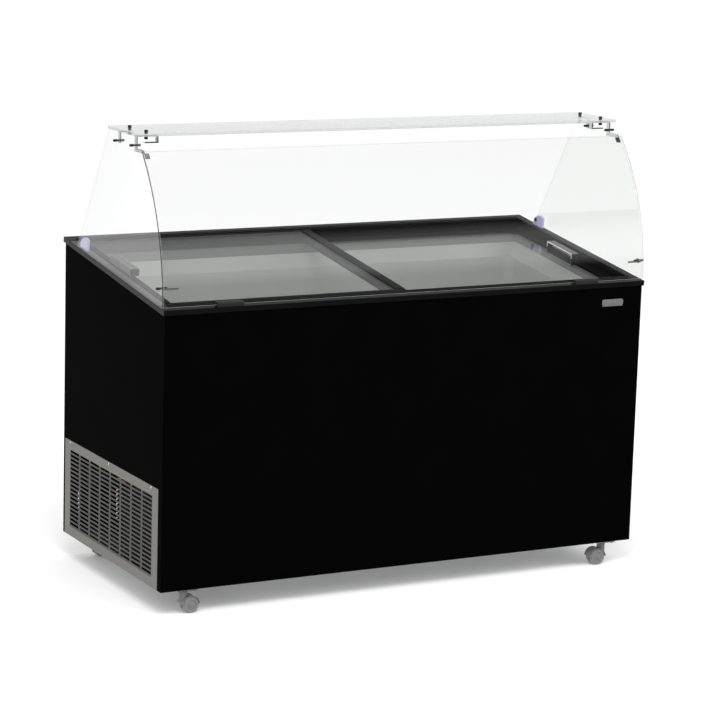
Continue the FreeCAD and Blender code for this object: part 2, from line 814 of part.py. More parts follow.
def canopy_bolts(hole=False):
    """Every bolt of the canopy, or the holes that they pass through."""
    prefix = "hole" if hole else "bolt"
    side_grip = "(canopy_glass + bracket + 2 * side_head_height)"
    top_grip = "(top_glass_thickness + bracket + 2 * top_head_height)"
    side_spots = (
        ("corner", "-front_bolt_y", SIDE_BOLT_Z),
        ("rear", "-rear_bolt_y", SIDE_BOLT_Z),
        ("clip", "-clip_bolt_y", CLIP_Z),
    )
    top_spots = (
        ("corner", "-front_bolt_y"),
        ("rear", "-rear_bolt_y"),
    )
    bolts = []
    for side, word, side_start in (
        (-1, "left", "-(width / 2 + side_head_height)"),
        (1, "right", SIDE_GLASS_X + " - bracket - side_head_height"),
    ):
        for spot, y, z in side_spots:
            bolts.append(bolt("%s_%s_side_%s" % (prefix, spot, word), "X", (side_start, y, z),
                              side_grip, "side_head", "side_head_height", hole))
        for spot, y in top_spots:
            start = ("%d * (width / 2 - top_bolt_inset)" % side, y,
                     "top_glass_height - bracket - top_head_height")
            bolts.append(bolt("%s_%s_top_%s" % (prefix, spot, word), "Z", start,
                              top_grip, "top_head", "top_head_height", hole))
    return bolts


def arc_cylinder(name, radius):
    """A cylinder round the axis of the front glass, a little longer than the canopy."""
    return rod(name, "X", radius, ("-width / 2 - 1", "arc_back", "arc_height"), "width + 2")


def curved_glass(holes):
    """The front glass: a sector of a thin cylinder with its foot upright."""
    outer = doc.addObject("Part::Cylinder", "front_glass_sector")
    bind(outer, "Radius", "arc_radius")
    bind(outer, "Height", "width")
    bind(outer, "Angle", "arc_sweep")
    forward = FreeCAD.Vector(0, -1, 0)
    up = FreeCAD.Vector(0, 0, 1)
    left = FreeCAD.Vector(-1, 0, 0)
    outer.Placement = FreeCAD.Placement(FreeCAD.Vector(), FreeCAD.Rotation(forward, up, left, "XYZ"))
    place(outer, HALF_WIDTH, "arc_back", "arc_height")
    subpart(cut("front_glass", outer, arc_cylinder("front_glass_hollow", INNER_RADIUS), holes))


def side_glasses(holes):
    """Flat side glasses that stand on the rim, with their front edges behind the curved glass."""
    top = "top_glass_height - glass_gap"
    corners = (
        ("-" + PANEL_Y, slope_height("-" + PANEL_Y, "glass_gap")),
        ("side_glass_back", slope_height("side_glass_back", "glass_gap")),
        ("side_glass_top_back", top),
        ("-" + PANEL_Y, top),
    )
    for word, start in (("left", "-" + HALF_WIDTH), ("right", SIDE_GLASS_X)):
        plate = prism(word + "_side_plate", "X", corners, start, "canopy_glass")
        bound = arc_cylinder(word + "_side_bound", INNER_RADIUS + " - glass_gap")
        subpart(cut(word + "_side_glass", common(word + "_side_blank", plate, bound), holes))


def top_glass(holes):
    """The flat shelf over the canopy."""
    pane = block("top_glass_blank", ("-" + HALF_WIDTH, HALF_WIDTH), ("-top_glass_front", "top_glass_back"),
                 ("top_glass_height", "top_glass_height + top_glass_thickness"))
    subpart(cut("top_glass", pane, holes))


def arc_plate(name, angle, wide, tall):
    """A small plate against the inside of the front glass, in the left corner."""
    plate = doc.addObject("Part::Box", name)
    bind(plate, "Length", wide)
    bind(plate, "Width", "bracket")
    bind(plate, "Height", tall)
    return around_arc(plate, angle, "-" + SIDE_GLASS_X, BRACKET_RADIUS, "-(%s) / 2" % tall)


def wall_plate(name, corners):
    """A plate against the inside of the left side glass, trimmed to the front glass."""
    plate = prism(name + "_flat", "X", corners, "-" + SIDE_GLASS_X, "bracket")
    bound = arc_cylinder(name + "_bound", BRACKET_RADIUS)
    return common(name, plate, bound)


def roof_strip(name, bolt_y, length):
    """A strip under the top glass that runs inwards from the left side glass."""
    return block(name, ("-" + SIDE_GLASS_X, "-%s + %s" % (SIDE_GLASS_X, length)),
                 ("-%s - strip / 2" % bolt_y, "-%s + strip / 2" % bolt_y),
                 ("top_glass_height - bracket", "top_glass_height"))


def both_sides(name, piece, holes):
    """A bracket with its bolt holes on the left and its mirror image on the right."""
    left = cut(name + "_left", piece, holes)
    subpart(group(name, left, mirrored(name + "_right", left)))


def corner_connectors(holes):
    """Strip brackets that tie the top glass to the side glass and to the head of the front glass."""
    top = "top_glass_height"
    strip_front = "-front_bolt_y - strip / 2"
    strip_back = "-front_bolt_y + strip / 2"
    arm_top = top + " - 32"
    arm_foot = top + " - 42"
    wall = wall_plate("connector_wall", (
        (strip_back, top),
        (strip_front, top),
        (strip_front, arm_top),
        ("-arc_radius", arm_top),
        ("-arc_radius", arm_foot),
        (strip_back, arm_foot),
    ))
    reach = "63"
    roof = roof_strip("connector_roof", "front_bolt_y", reach)
    hook_end = "-%s + %s" % (SIDE_GLASS_X, reach)
    hook_foot = top + " - 20"
    hook_wall = block("connector_hook_wall", (hook_end + " - bracket", hook_end), (strip_front, strip_back),
                      (hook_foot, top))
    hook_lip = block("connector_hook_lip", (hook_end + " - 39", hook_end), (strip_front, strip_back),
                     (hook_foot, hook_foot + " + bracket"))
    tab = arc_plate("connector_tab", "arc_sweep - 1.2", "strip", "16")
    both_sides("corner_connectors", join("connector_blank", wall, roof, hook_wall, hook_lip, tab), holes)


def rear_top_clamps(holes):
    """Angle strips between the top glass and the side glasses, at the back."""
    wall = block("clamp_wall", ("-" + SIDE_GLASS_X, "-%s + bracket" % SIDE_GLASS_X),
                 ("-rear_bolt_y - strip / 2", "-rear_bolt_y + strip / 2"),
                 (SIDE_BOLT_Z + " - strip / 2", "top_glass_height"))
    roof = roof_strip("clamp_roof", "rear_bolt_y", "38")
    both_sides("rear_top_clamps", join("clamp_blank", wall, roof), holes)


def lower_corner_clips(holes):
    """Thin clips that hold the foot of the front glass to the side glasses."""
    slim = "2.5"
    eye = "6"
    wall = wall_plate("clip_wall", (
        ("-arc_radius", "%s - %s" % (CLIP_Z, slim)),
        ("-clip_bolt_y - " + eye, "%s - %s" % (CLIP_Z, slim)),
        ("-clip_bolt_y - " + eye, "%s - %s" % (CLIP_Z, eye)),
        ("-clip_bolt_y + " + eye, "%s - %s" % (CLIP_Z, eye)),
        ("-clip_bolt_y + " + eye, "%s + %s" % (CLIP_Z, eye)),
        ("-clip_bolt_y - " + eye, "%s + %s" % (CLIP_Z, eye)),
        ("-clip_bolt_y - " + eye, "%s + %s" % (CLIP_Z, slim)),
        ("-arc_radius", "%s + %s" % (CLIP_Z, slim)),
    ))
    tab = arc_plate("clip_tab", "asin(clip_height / arc_radius)", "42", "2 * " + slim)
    both_sides("lower_corner_clips", join("clip_blank", wall, tab), holes)


def front_glass_shoes():
    """Two low black shoes on the front rail that grip the foot of the front glass."""
    front = "(-depth / 2 + 1)"
    back = "(-depth / 2 + 24)"
    top = "arc_height + shoe_height"
    jaw = prism("shoe_block", "X", (
        (front, slope_height(front, "0")),
        (back, slope_height(back, "0")),
        (back, top + " - 3"),
        (back + " - 3", top),
        (front + " + 3", top),
        (front, top + " - 3"),
    ), "-shoe_middle - shoe_length / 2", "shoe_length")
    slot_outside = arc_cylinder("shoe_slot_outside", "arc_radius + 0.1")
    slot_inside = arc_cylinder("shoe_slot_inside", INNER_RADIUS + " - 0.3")
    band = block("shoe_band", ("-" + HALF_WIDTH, HALF_WIDTH), ("-depth", "0"),
                 ("arc_height", "2 * arc_height"))
    slot = common("shoe_slot", cut("shoe_ring", slot_outside, slot_inside), band)
    left = cut("shoe_left", jaw, slot)
    subpart(group("front_glass_shoes", left, mirrored("shoe_right", left)))


def rear_glass_holders():
    """Two rounded plastic blocks that hold the rear foot of the side glasses."""
    thickness = "9"
    rounding = "(holder_height - 1)"
    plate = block("holder_plate", ("-%s + 0.1" % SIDE_GLASS_X, "-%s + %s" % (SIDE_GLASS_X, thickness)),
                  ("holder_back - holder_length", "holder_back"), ("0", "holder_height"))
    curve = rod("holder_curve", "X", rounding, ("-" + HALF_WIDTH, "holder_back - " + rounding, "0"),
                "2 * canopy_glass + " + thickness)
    left = tilted(common("holder_left", plate, curve))
    subpart(group("rear_glass_holders", left, mirrored("holder_right", left)))


def badge_plate():
    """A blank rounded plate on the front, near the right corner."""
    thickness = "1.5"
    left = "badge_right - badge_length"
    top = "badge_bottom + badge_height"
    plate = prism("badge_plate", "Y", (
        (left, "badge_bottom"),
        ("badge_right", "badge_bottom"),
        ("badge_right", top),
        (left, top),
    ), "-%s - %s" % (PANEL_Y, thickness), thickness)
    round_edges(plate, FreeCAD.Vector(0, 1, 0), "badge_height / 4")
    subpart(plate)


# ---------------------------------------------------------------- machine compartment

def side_grille():
    """The slotted cover of the machine compartment."""
    gap = "0.5"
    front = "-grille_front + " + gap
    back = "grille_back - " + gap
    top = "clearance + grille_height - " + gap
    body = prism("side_grille", "X", (
        (front, "clearance"),
        (back, "clearance"),
        (back, top),
        (front, top),
    ), "-" + PANEL_X, "sheet")
    first_y = "-grille_front + 40"
    first_z = "clearance + 34"
    slot = sketch_outline(body, "X", (
        (first_y, first_z),
        (first_y + " + slot_length", first_z),
        (first_y + " + slot_length", first_z + " + slot_height"),
        (first_y, first_z + " + slot_height"),
    ))
    plain_volume = body.Shape.Volume
    pocket = body.newObject("PartDesign::Pocket", "slot_pocket")
    pocket.Profile = slot
    pocket.Type = "ThroughAll"
    pocket.Midplane = True
    doc.recompute()
    if plain_volume - body.Shape.Volume < 1:
        raise ValueError("the grille slot cuts nothing")
    patterns = body.newObject("PartDesign::MultiTransform", "slot_field")
    steps = []
    for name, axis, count, pitch in (("slot_row_step", "Y_Axis", "slot_columns", "slot_pitch_y"),
                                     ("slot_column_step", "Z_Axis", "slot_rows", "slot_pitch_z")):
        step = body.newObject("PartDesign::LinearPattern", name)
        step.Direction = (origin_plane(body, axis), [""])
        bind(step, "Length", "(%s - 1) * %s" % (count, pitch))
        bind(step, "Occurrences", count)
        steps.append(step)
    patterns.Originals = [pocket]
    patterns.Transformations = steps
    body.Tip = patterns
    doc.recompute()
    subpart(body)


def grille_screws():
    """Screws along the top edge of the grille."""
    height = "clearance + grille_height - 6"
    screws = []
    for number, y in enumerate(("-grille_front + 46", "15", "grille_back - 40")):
        spot = ("-%s - screw_head_height" % PANEL_X, y, height)
        screws.append(rod("screw_head_%d" % number, "X", "screw_head", spot, "screw_head_height"))
    subpart(group("grille_screws", *screws))


def compressor():
    """A welded hermetic can with its foot plate and two pipe stubs."""
    can = turned("compressor_can", (
        ("0", "0"),
        ("compressor_radius - 12", "0"),
        ("compressor_radius", "14"),
        ("compressor_radius", "74"),
        ("compressor_radius + 4", "74"),
        ("compressor_radius + 4", "80"),
        ("compressor_radius", "80"),
        ("compressor_radius", "120"),
        ("compressor_radius - 8", "140"),
        ("compressor_radius - 30", "158"),
        ("0", "164"),
    ))
    place(can, "-compressor_x", "compressor_y", "compressor_base")
    plate_foot = "(compressor_base - 3)"
    plate = block("compressor_plate",
                  ("-compressor_x - compressor_radius - 15", "-compressor_x + compressor_radius + 15"),
                  ("compressor_y - compressor_radius + 10", "compressor_y + compressor_radius - 10"),
                  (plate_foot, plate_foot + " + 4"))
    stubs = []
    for name, shift, height in (("discharge", "-stub_shift", "discharge_height"),
                                ("suction", "stub_shift", "suction_height")):
        spot = ("-compressor_x + " + shift, "compressor_y - stub_reach", "compressor_base + " + height)
        stubs.append(rod(name + "_stub", "Y", "pipe_radius + 1", spot, "60"))
    subpart(join("compressor", can, plate, *stubs))
    mounts = []
    for side in (-1, 1):
        for end in (-1, 1):
            spot = ("-compressor_x + %d * compressor_radius" % side,
                    "compressor_y + %d * (compressor_radius - 25)" % end, CORE_Z)
            name = "mount_%s_%s" % ("left" if side < 0 else "right", "front" if end < 0 else "rear")
            mounts.append(rod(name, "Z", "12", spot, "%s - %s" % (plate_foot, CORE_Z)))
    subpart(group("compressor_mounts", *mounts))
    cover_x = "-compressor_x + compressor_radius + 4"
    subpart(block("terminal_cover", (cover_x, cover_x + " + 40"),
                  ("compressor_y - 28", "compressor_y + 28"),
                  ("compressor_base + 30", "compressor_base + 96")))


def condenser():
    """A finned block behind the grille: plain headers at both ends, fins between them."""
    half = "(condenser_size / 2)"
    body = block("condenser_block", ("-" + CONDENSER_X, "-%s + condenser_depth" % CONDENSER_X),
                 ("-fan_y - " + half, "-fan_y + " + half), ("fan_z - " + half, "fan_z + " + half))
    inner_half = "(condenser_size / 2 - condenser_header + 2)"
    gaps = []
    for number in range(whole("fin_gaps")):
        start = "-fan_y - %s + condenser_header + %d * fin_pitch" % (half, number)
        gaps.append(block("fin_gap_%d" % number, ("-" + CONDENSER_X, "-%s + fin_gap_depth" % CONDENSER_X),
                          (start, start + " + fin_gap"), ("fan_z - " + inner_half, "fan_z + " + inner_half)))
    subpart(cut("condenser", body, *gaps))


def fan_shroud():
    """The square shroud behind the condenser and the bridge that carries the motor."""
    half = "(condenser_size / 2)"
    arm_half = "(condenser_size / 2 - 7)"
    arm_y = ("-fan_y - arm_width / 2", "-fan_y + arm_width / 2")
    plate_back = "-%s + shroud_sheet" % SHROUD_X
    bridge_back = "-%s + shroud_depth" % SHROUD_X
    plate = block("shroud_plate", ("-" + SHROUD_X, plate_back), ("-fan_y - " + half, "-fan_y + " + half),
                  ("fan_z - " + half, "fan_z + " + half))
    mouth = rod("shroud_mouth", "X", "fan_radius + 5", ("-" + SHROUD_X, "-fan_y", "fan_z"), "shroud_sheet")
    low_arm = block("shroud_low_arm", (plate_back, bridge_back), arm_y,
                    ("fan_z - " + arm_half, "fan_z - %s + arm_thickness" % arm_half))
    high_arm = block("shroud_high_arm", (plate_back, bridge_back), arm_y,
                     ("fan_z + %s - arm_thickness" % arm_half, "fan_z + " + arm_half))
    bridge = block("shroud_bridge", (bridge_back + " - arm_thickness", bridge_back), arm_y,
                   ("fan_z - " + arm_half, "fan_z + " + arm_half))
    hole = rod("bridge_hole", "X", "shaft_radius", (bridge_back + " - arm_thickness", "-fan_y", "fan_z"),
               "arm_thickness")
    ring = cut("shroud_ring", plate, mouth)
    subpart(join("fan_shroud", ring, low_arm, high_arm, cut("drilled_bridge", bridge, hole)))


def fan_motor():
    """The motor behind the bridge, with its shaft reaching forward through the blade."""
    case = turned("fan_motor_case", (
        ("0", "0"),
        ("26", "0"),
        ("30", "4"),
        ("30", "40"),
        ("24", "46"),
        ("0", "46"),
    ))
    case.Placement = FreeCAD.Placement(FreeCAD.Vector(), TURN["X"])
    place(case, "-%s + shroud_depth" % SHROUD_X, "-fan_y", "fan_z")
    shaft = rod("fan_motor_shaft", "X", "shaft_radius", ("-%s + 8" % SHROUD_X, "-fan_y", "fan_z"),
                "shroud_depth")
    subpart(join("fan_motor", case, shaft))


def fan_blade():
    """A hub with twisted blades, bored to turn on the motor's shaft."""
    hub_start = "-%s + 10" % SHROUD_X
    hub = rod("fan_hub", "X", "hub_radius", (hub_start, "-fan_y", "fan_z"), "blade_length")
    root = value_of("hub_radius - 4")
    half_length = value_of("blade_length / 2")
    half_thickness = value_of("blade_thickness / 2")
    middle = FreeCAD.Vector(value_of(hub_start) + half_length, value_of("-fan_y"), value_of("fan_z"))
    out = FreeCAD.Placement(FreeCAD.Vector(0, 0, root), FreeCAD.Rotation())
    twist = FreeCAD.Rotation(FreeCAD.Vector(0, 0, 1), value_of("blade_twist"))
    centred = FreeCAD.Placement(FreeCAD.Vector(-half_length, -half_thickness, 0), FreeCAD.Rotation())
    blades = []
    for number in range(whole("fan_blades")):
        blade = doc.addObject("Part::Box", "fan_vane_%d" % number)
        bind(blade, "Length", "blade_length")
        bind(blade, "Width", "blade_thickness")
        bind(blade, "Height", "fan_radius - hub_radius + 3")
        turn = FreeCAD.Rotation(FreeCAD.Vector(1, 0, 0), number * 360 / whole("fan_blades"))
        step = FreeCAD.Placement(middle, turn)
        blade.Placement = step * out * FreeCAD.Placement(FreeCAD.Vector(), twist) * centred
        blades.append(blade)
    bore = rod("fan_bore", "X", "shaft_radius + shaft_clearance", ("-" + SHROUD_X, "-fan_y", "fan_z"),
               "shroud_depth")
    subpart(cut("fan_blade", join("fan_blade_blank", hub, *blades), bore))


def pipework():
    """Discharge, liquid and suction lines with the filter drier."""
    stub_end = "compressor_y - stub_reach"
    discharge_x = "-compressor_x - stub_shift"
    suction_x = "-compressor_x + stub_shift"
    discharge_z = "compressor_base + discharge_height"
    suction_z = "compressor_base + suction_height"
    coil_x = "-%s + condenser_depth / 2" % CONDENSER_X
    coil_end = "-fan_y + condenser_size / 2"
    inlet_z = "fan_z + 100"
    outlet_z = "fan_z - 90"
    drier_x = "-compressor_x + 60"
    drier_foot = "(fan_z - 50)"
    ceiling = "(%s - sheet)" % MACHINE_Z
    subpart(pipe("discharge_pipe", "pipe_radius", "pipe_bend", (
        (discharge_x, stub_end, discharge_z),
        (discharge_x, "20", discharge_z),
        (discharge_x, "20", inlet_z),
        (coil_x, "20", inlet_z),
        (coil_x, coil_end, inlet_z),
    )))
    subpart(pipe("liquid_pipe", "liquid_pipe_radius", "pipe_bend", (
        (coil_x, coil_end, outlet_z),
        (coil_x, "-20", outlet_z),
        (drier_x, "-20", outlet_z),
        (drier_x, "-20", drier_foot),
    )))
    subpart(pipe("suction_pipe", "pipe_radius", "pipe_bend", (
        (suction_x, stub_end, suction_z),
        (suction_x, "30", suction_z),
        (suction_x, "30", ceiling),
    )))
    drier_top = "(%s + drier_length)" % drier_foot
    drier = rod("drier_can", "Z", "drier_radius", (drier_x, "-20", drier_foot), "drier_length")
    capillary = rod("drier_capillary", "Z", "liquid_pipe_radius / 2", (drier_x, "-20", drier_top),
                    "%s - %s" % (ceiling, drier_top))
    subpart(join("filter_drier", drier, capillary))


FLOOR_Y = "(depth / 2 - overhang - recess_depth)"
RECESS_Z = "((recess_bottom + recess_top) / 2)"


def service_recess():
    """The recessed tray in the rear panel."""
    inner_floor = FLOOR_Y + " + recess_wall"
    tray = block("recess_tray", ("-recess_left", "-recess_right"), (FLOOR_Y, PANEL_Y),
                 ("recess_bottom", "recess_top"))
    hollow = block("recess_hollow", ("-recess_left + recess_wall", "-recess_right - recess_wall"),
                   (inner_floor, PANEL_Y), ("recess_bottom + recess_wall", "recess_top - recess_wall"))
    knob_hole = rod("recess_knob_hole", "Y", "shaft_radius + 1", ("-knob_x", FLOOR_Y, RECESS_Z),
                    "recess_wall")
    gland_hole = rod("recess_gland_hole", "Y", "gland_radius", ("-gland_x", FLOOR_Y, RECESS_Z),
                     "recess_wall")
    subpart(cut("service_recess", tray, hollow, knob_hole, gland_hole))


def thermostat():
    """The thermostat behind the tray and the knob that turns on its shaft."""
    reach = "12"
    case = block("thermostat_case", ("-knob_x - thermostat_width / 2", "-knob_x + thermostat_width / 2"),
                 (FLOOR_Y + " - thermostat_depth", FLOOR_Y),
                 (RECESS_Z + " - thermostat_height / 2", RECESS_Z + " + thermostat_height / 2"))
    bore = rod("thermostat_bore", "Y", "shaft_radius + shaft_clearance",
               ("-knob_x", "%s - %s" % (FLOOR_Y, reach), RECESS_Z), reach)
    subpart(cut("thermostat", case, bore))
    skirt_start = "(%s + recess_wall + 0.5)" % FLOOR_Y
    grip_start = "(%s + 4)" % skirt_start
    grip_end = "(%s + 10)" % grip_start
    shaft_start = "(%s - %s + 0.5)" % (FLOOR_Y, reach)
    shaft = rod("knob_shaft", "Y", "shaft_radius", ("-knob_x", shaft_start, RECESS_Z),
                "%s - %s" % (grip_start, shaft_start))
    skirt = rod("knob_skirt", "Y", "knob_radius", ("-knob_x", skirt_start, RECESS_Z), "4")
    grip = rod("knob_grip", "Y", "knob_radius - 3", ("-knob_x", grip_start, RECESS_Z), "10")
    pointer = block("knob_pointer", ("-knob_x - 2", "-knob_x + 2"),
                    (grip_end + " - 0.5", grip_end + " + 1.5"), (RECESS_Z, RECESS_Z + " + knob_radius - 4"))
    subpart(join("thermostat_knob", shaft, skirt, grip, pointer))


def mains_gland():
    """The gland in the tray that a mains lead passes through."""
    thread_start = "(%s - 10)" % FLOOR_Y
    flange_start = "(%s + recess_wall)" % FLOOR_Y
    thread = rod("gland_thread", "Y", "gland_radius", ("-gland_x", thread_start, RECESS_Z),
                 "%s - %s" % (flange_start, thread_start))
    flange = rod("gland_flange", "Y", "gland_radius + 3", ("-gland_x", flange_start, RECESS_Z), "4")
    cap = rod("gland_cap", "Y", "gland_radius + 1", ("-gland_x", flange_start + " + 4", RECESS_Z), "12")
    cable_bore = rod("gland_bore", "Y", "cable_radius", ("-gland_x", thread_start, RECESS_Z), "28")
    subpart(cut("mains_gland", join("gland_blank", thread, flange, cap), cable_bore))


# ---------------------------------------------------------------- casters

def casters():
    """Four twin-wheel swivel casters: a fixed plate, a hood that swivels and two wheels."""
    plates = []
    half = "caster_plate_size / 2"
    for word, side, y in (
        ("front_left", -1, "-caster_front"),
        ("front_right", 1, "-caster_front"),
        ("rear_left", -1, "caster_back"),
        ("rear_right", 1, "caster_back"),
    ):
        x = "%d * caster_x" % side
        plate = block("plate_" + word, ("%s - %s" % (x, half), "%s + %s" % (x, half)),
                      ("%s - %s" % (y, half), "%s + %s" % (y, half)), ("clearance - 3", "clearance"))
        collar = rod("collar_" + word, "Z", "caster_collar", (x, y, "clearance - 8"), "5")
        socket = rod("socket_" + word, "Z", "stem_radius + shaft_clearance", (x, y, "clearance - 8"), "8")
        plates.append(cut("caster_plate_" + word, join("plate_blank_" + word, plate, collar), socket))
        axle_x = "(%s - %d * caster_trail)" % (x, side)
        caster_hood(word, x, y, axle_x)
        caster_wheels(word, y, axle_x)
    subpart(group("caster_plates", *plates))


def caster_hood(word, x, y, axle_x):
    """The swivelling part: stem, curved hood, middle web and axle."""
    half = "(web / 2 + wheel_width + 2 * wheel_gap)"
    side_start = "%s - %s" % (y, half)
    inner_radius = "wheel_radius + 1"
    outer_radius = inner_radius + " + hood_wall"
    boss_foot = "2 * wheel_radius - 8"
    stem_foot = "2 * wheel_radius + 3"
    stem = rod("stem_" + word, "Z", "stem_radius", (x, y, stem_foot), "clearance - 2 - (%s)" % stem_foot)
    boss = rod("boss_" + word, "Z", "caster_collar - 1", (x, y, boss_foot),
               "clearance - 9 - (%s)" % boss_foot)
    shell = rod("shell_" + word, "Y", outer_radius, (axle_x, side_start, "wheel_radius"), "2 * " + half)
    wheel_space = rod("wheel_space_" + word, "Y", inner_radius,
                      (axle_x, side_start + " - 1", "wheel_radius"), "2 * %s + 2" % half)
    open_below = block("hood_low_" + word,
                       (axle_x + " - caster_plate_size", axle_x + " + caster_plate_size"),
                       ("%s - caster_plate_size" % y, "%s + caster_plate_size" % y),
                       ("-wheel_radius", "wheel_radius + 2"))
    cover = cut("cover_" + word, join("cover_blank_" + word, shell, boss), wheel_space, open_below)
    web_disc = rod("web_disc_" + word, "Y", "wheel_radius + 2", (axle_x, y + " - web / 2", "wheel_radius"),
                   "web")
    web_low = block("web_low_" + word, (axle_x + " - caster_plate_size", axle_x + " + caster_plate_size"),
                    ("%s - web" % y, "%s + web" % y), ("-wheel_radius", "wheel_radius - 9"))
    web = cut("web_" + word, web_disc, web_low)
    axle = rod("axle_" + word, "Y", "axle_radius", (axle_x, side_start, "wheel_radius"), "2 * " + half)
    subpart(join("caster_hood_" + word, stem, cover, web, axle))


def caster_wheels(word, y, axle_x):
    """Two rounded wheels on one axle."""
    bore = "axle_radius + shaft_clearance"
    wheels = []
    for name, start in (
        ("a", "%s - web / 2 - wheel_gap - wheel_width" % y),
        ("b", "%s + web / 2 + wheel_gap" % y),
    ):
        wheel = turned("wheel_%s_%s" % (name, word), (
            (bore, "0"),
            ("wheel_radius - 3", "0"),
            ("wheel_radius", "2"),
            ("wheel_radius", "wheel_width - 2"),
            ("wheel_radius - 3", "wheel_width"),
            (bore, "wheel_width"),
        ))
        wheel.Placement = FreeCAD.Placement(FreeCAD.Vector(), TURN["Y"])
        place(wheel, axle_x, start, "wheel_radius")
        wheels.append(wheel)
    subpart(group("caster_wheels_" + word, *wheels))


# ---------------------------------------------------------------- assembly and export

def build():
    """Make every sub-part."""
    fill_sheet()
    front_panel()
    rear_panel()
    side_panels()
    base_pan()
    machine_wall()
    inner_liner()
    foam_insulation()
    throat_collar()
    cross_rail("front_top_rail", False)
    cross_rail("rear_top_rail", True)
    side_rail()
    drain()
    evaporator_coil()
    lids()
    subpart(group("canopy_bolts", *canopy_bolts()))
    holes = join("bolt_holes", *canopy_bolts(hole=True))
    curved_glass(holes)
    side_glasses(holes)
    top_glass(holes)
    corner_connectors(holes)
    rear_top_clamps(holes)
    lower_corner_clips(holes)
    front_glass_shoes()
    rear_glass_holders()
    badge_plate()
    side_grille()
    grille_screws()
    compressor()
    condenser()
    fan_shroud()
    fan_motor()
    fan_blade()
    pipework()
    service_recess()
    thermostat()
    mains_gland()
    casters()


def check():
    """Stop if any document object failed or any sub-part is empty or broken."""
    failed = [thing.Name for thing in doc.Objects if "Invalid" in thing.State or "Error" in thing.State]
    if failed:
        raise ValueError("these did not recompute: %s" % ", ".join(failed))
    for piece in nodes:
        if piece.Shape.isNull() or not piece.Shape.isValid() or not piece.Shape.Solids:
            raise ValueError("%s has no valid solid" % piece.Label)


def export():
    """Write one STEP file for each sub-part."""
    os.makedirs("parts", exist_ok=True)
    for piece in nodes:
        piece.Shape.exportStep("parts/%s.step" % piece.Label)


build()
doc.recompute()
check()
export()
print("%d sub-parts written" % len(nodes))
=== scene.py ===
"""Looks of an ice cream scooping freezer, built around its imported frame.

Lengths are metres in the row frame: X to the right, Y to the back, Z up, with the floor at zero.
"""

import json
import math
import random

import bmesh
import bpy
from mathutils import Matrix, Vector


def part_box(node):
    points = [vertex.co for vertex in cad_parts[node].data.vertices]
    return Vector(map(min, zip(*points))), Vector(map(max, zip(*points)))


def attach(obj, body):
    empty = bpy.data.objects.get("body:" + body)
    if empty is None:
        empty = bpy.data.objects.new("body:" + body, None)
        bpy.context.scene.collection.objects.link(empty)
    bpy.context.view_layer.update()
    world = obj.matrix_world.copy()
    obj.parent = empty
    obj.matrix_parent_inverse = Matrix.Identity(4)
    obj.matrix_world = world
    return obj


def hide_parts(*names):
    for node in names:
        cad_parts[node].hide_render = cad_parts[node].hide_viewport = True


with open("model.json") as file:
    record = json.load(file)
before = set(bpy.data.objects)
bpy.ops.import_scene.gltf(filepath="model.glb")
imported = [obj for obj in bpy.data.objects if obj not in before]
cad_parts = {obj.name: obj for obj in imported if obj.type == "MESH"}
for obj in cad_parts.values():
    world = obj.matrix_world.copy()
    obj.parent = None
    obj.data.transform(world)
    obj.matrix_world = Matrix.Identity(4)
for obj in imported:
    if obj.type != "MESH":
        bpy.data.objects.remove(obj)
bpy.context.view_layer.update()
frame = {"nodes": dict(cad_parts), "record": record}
NODES = frame["nodes"]
NODE_BODY = {node: body for body, nodes in frame["record"]["behaviour"]["bodies"].items() for node in nodes}
CORNERS = ("front_left", "front_right", "rear_left", "rear_right")
AXES = {
    "X": Vector((1.0, 0.0, 0.0)),
    "-X": Vector((-1.0, 0.0, 0.0)),
    "Y": Vector((0.0, 1.0, 0.0)),
    "-Z": Vector((0.0, 0.0, -1.0)),
}

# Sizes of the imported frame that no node's box gives.
LID_GLASS = 0.004
FRONT_GLASS = 0.006
COLLAR_HEIGHT = 0.060
GRILLE_SIDE_BORDER = 0.0385
GRILLE_TOP_BORDER = 0.0275
WHEEL_WIDTH = 0.014
CASTER_PLATE = 0.003
CASTER_TRAIL = 0.018
VENT_ROWS = 7
VENT_COLUMNS = 2
VENT_PITCH_X = 0.120
VENT_PITCH_Z = 0.014
VENT_FOOT = 0.020
VENT_LENGTH = 0.105

# Sizes that only the looks have.
COLLAR_DARK = 0.024
PANE_EDGE = 0.0009
FRONT_CHEEK = 0.0076
REAR_CHEEK = 0.0041
CONDENSER_ROWS = 8
COIL_TUBE = 0.0042
END_PLATE = 0.0015
BOLT_SPREAD = 0.0225

# How shapes are cleaned and rounded: a length, angles in degrees, and the part of a face's normal
# along an axis above which the face counts as looking that way.
WELD = 0.00002
FLAT_BELOW = 0.5
ROUND_ABOVE = 32.0
SMOOTH_BELOW = 38.0
FACING = 0.7


# ---------------------------------------------------------------- materials

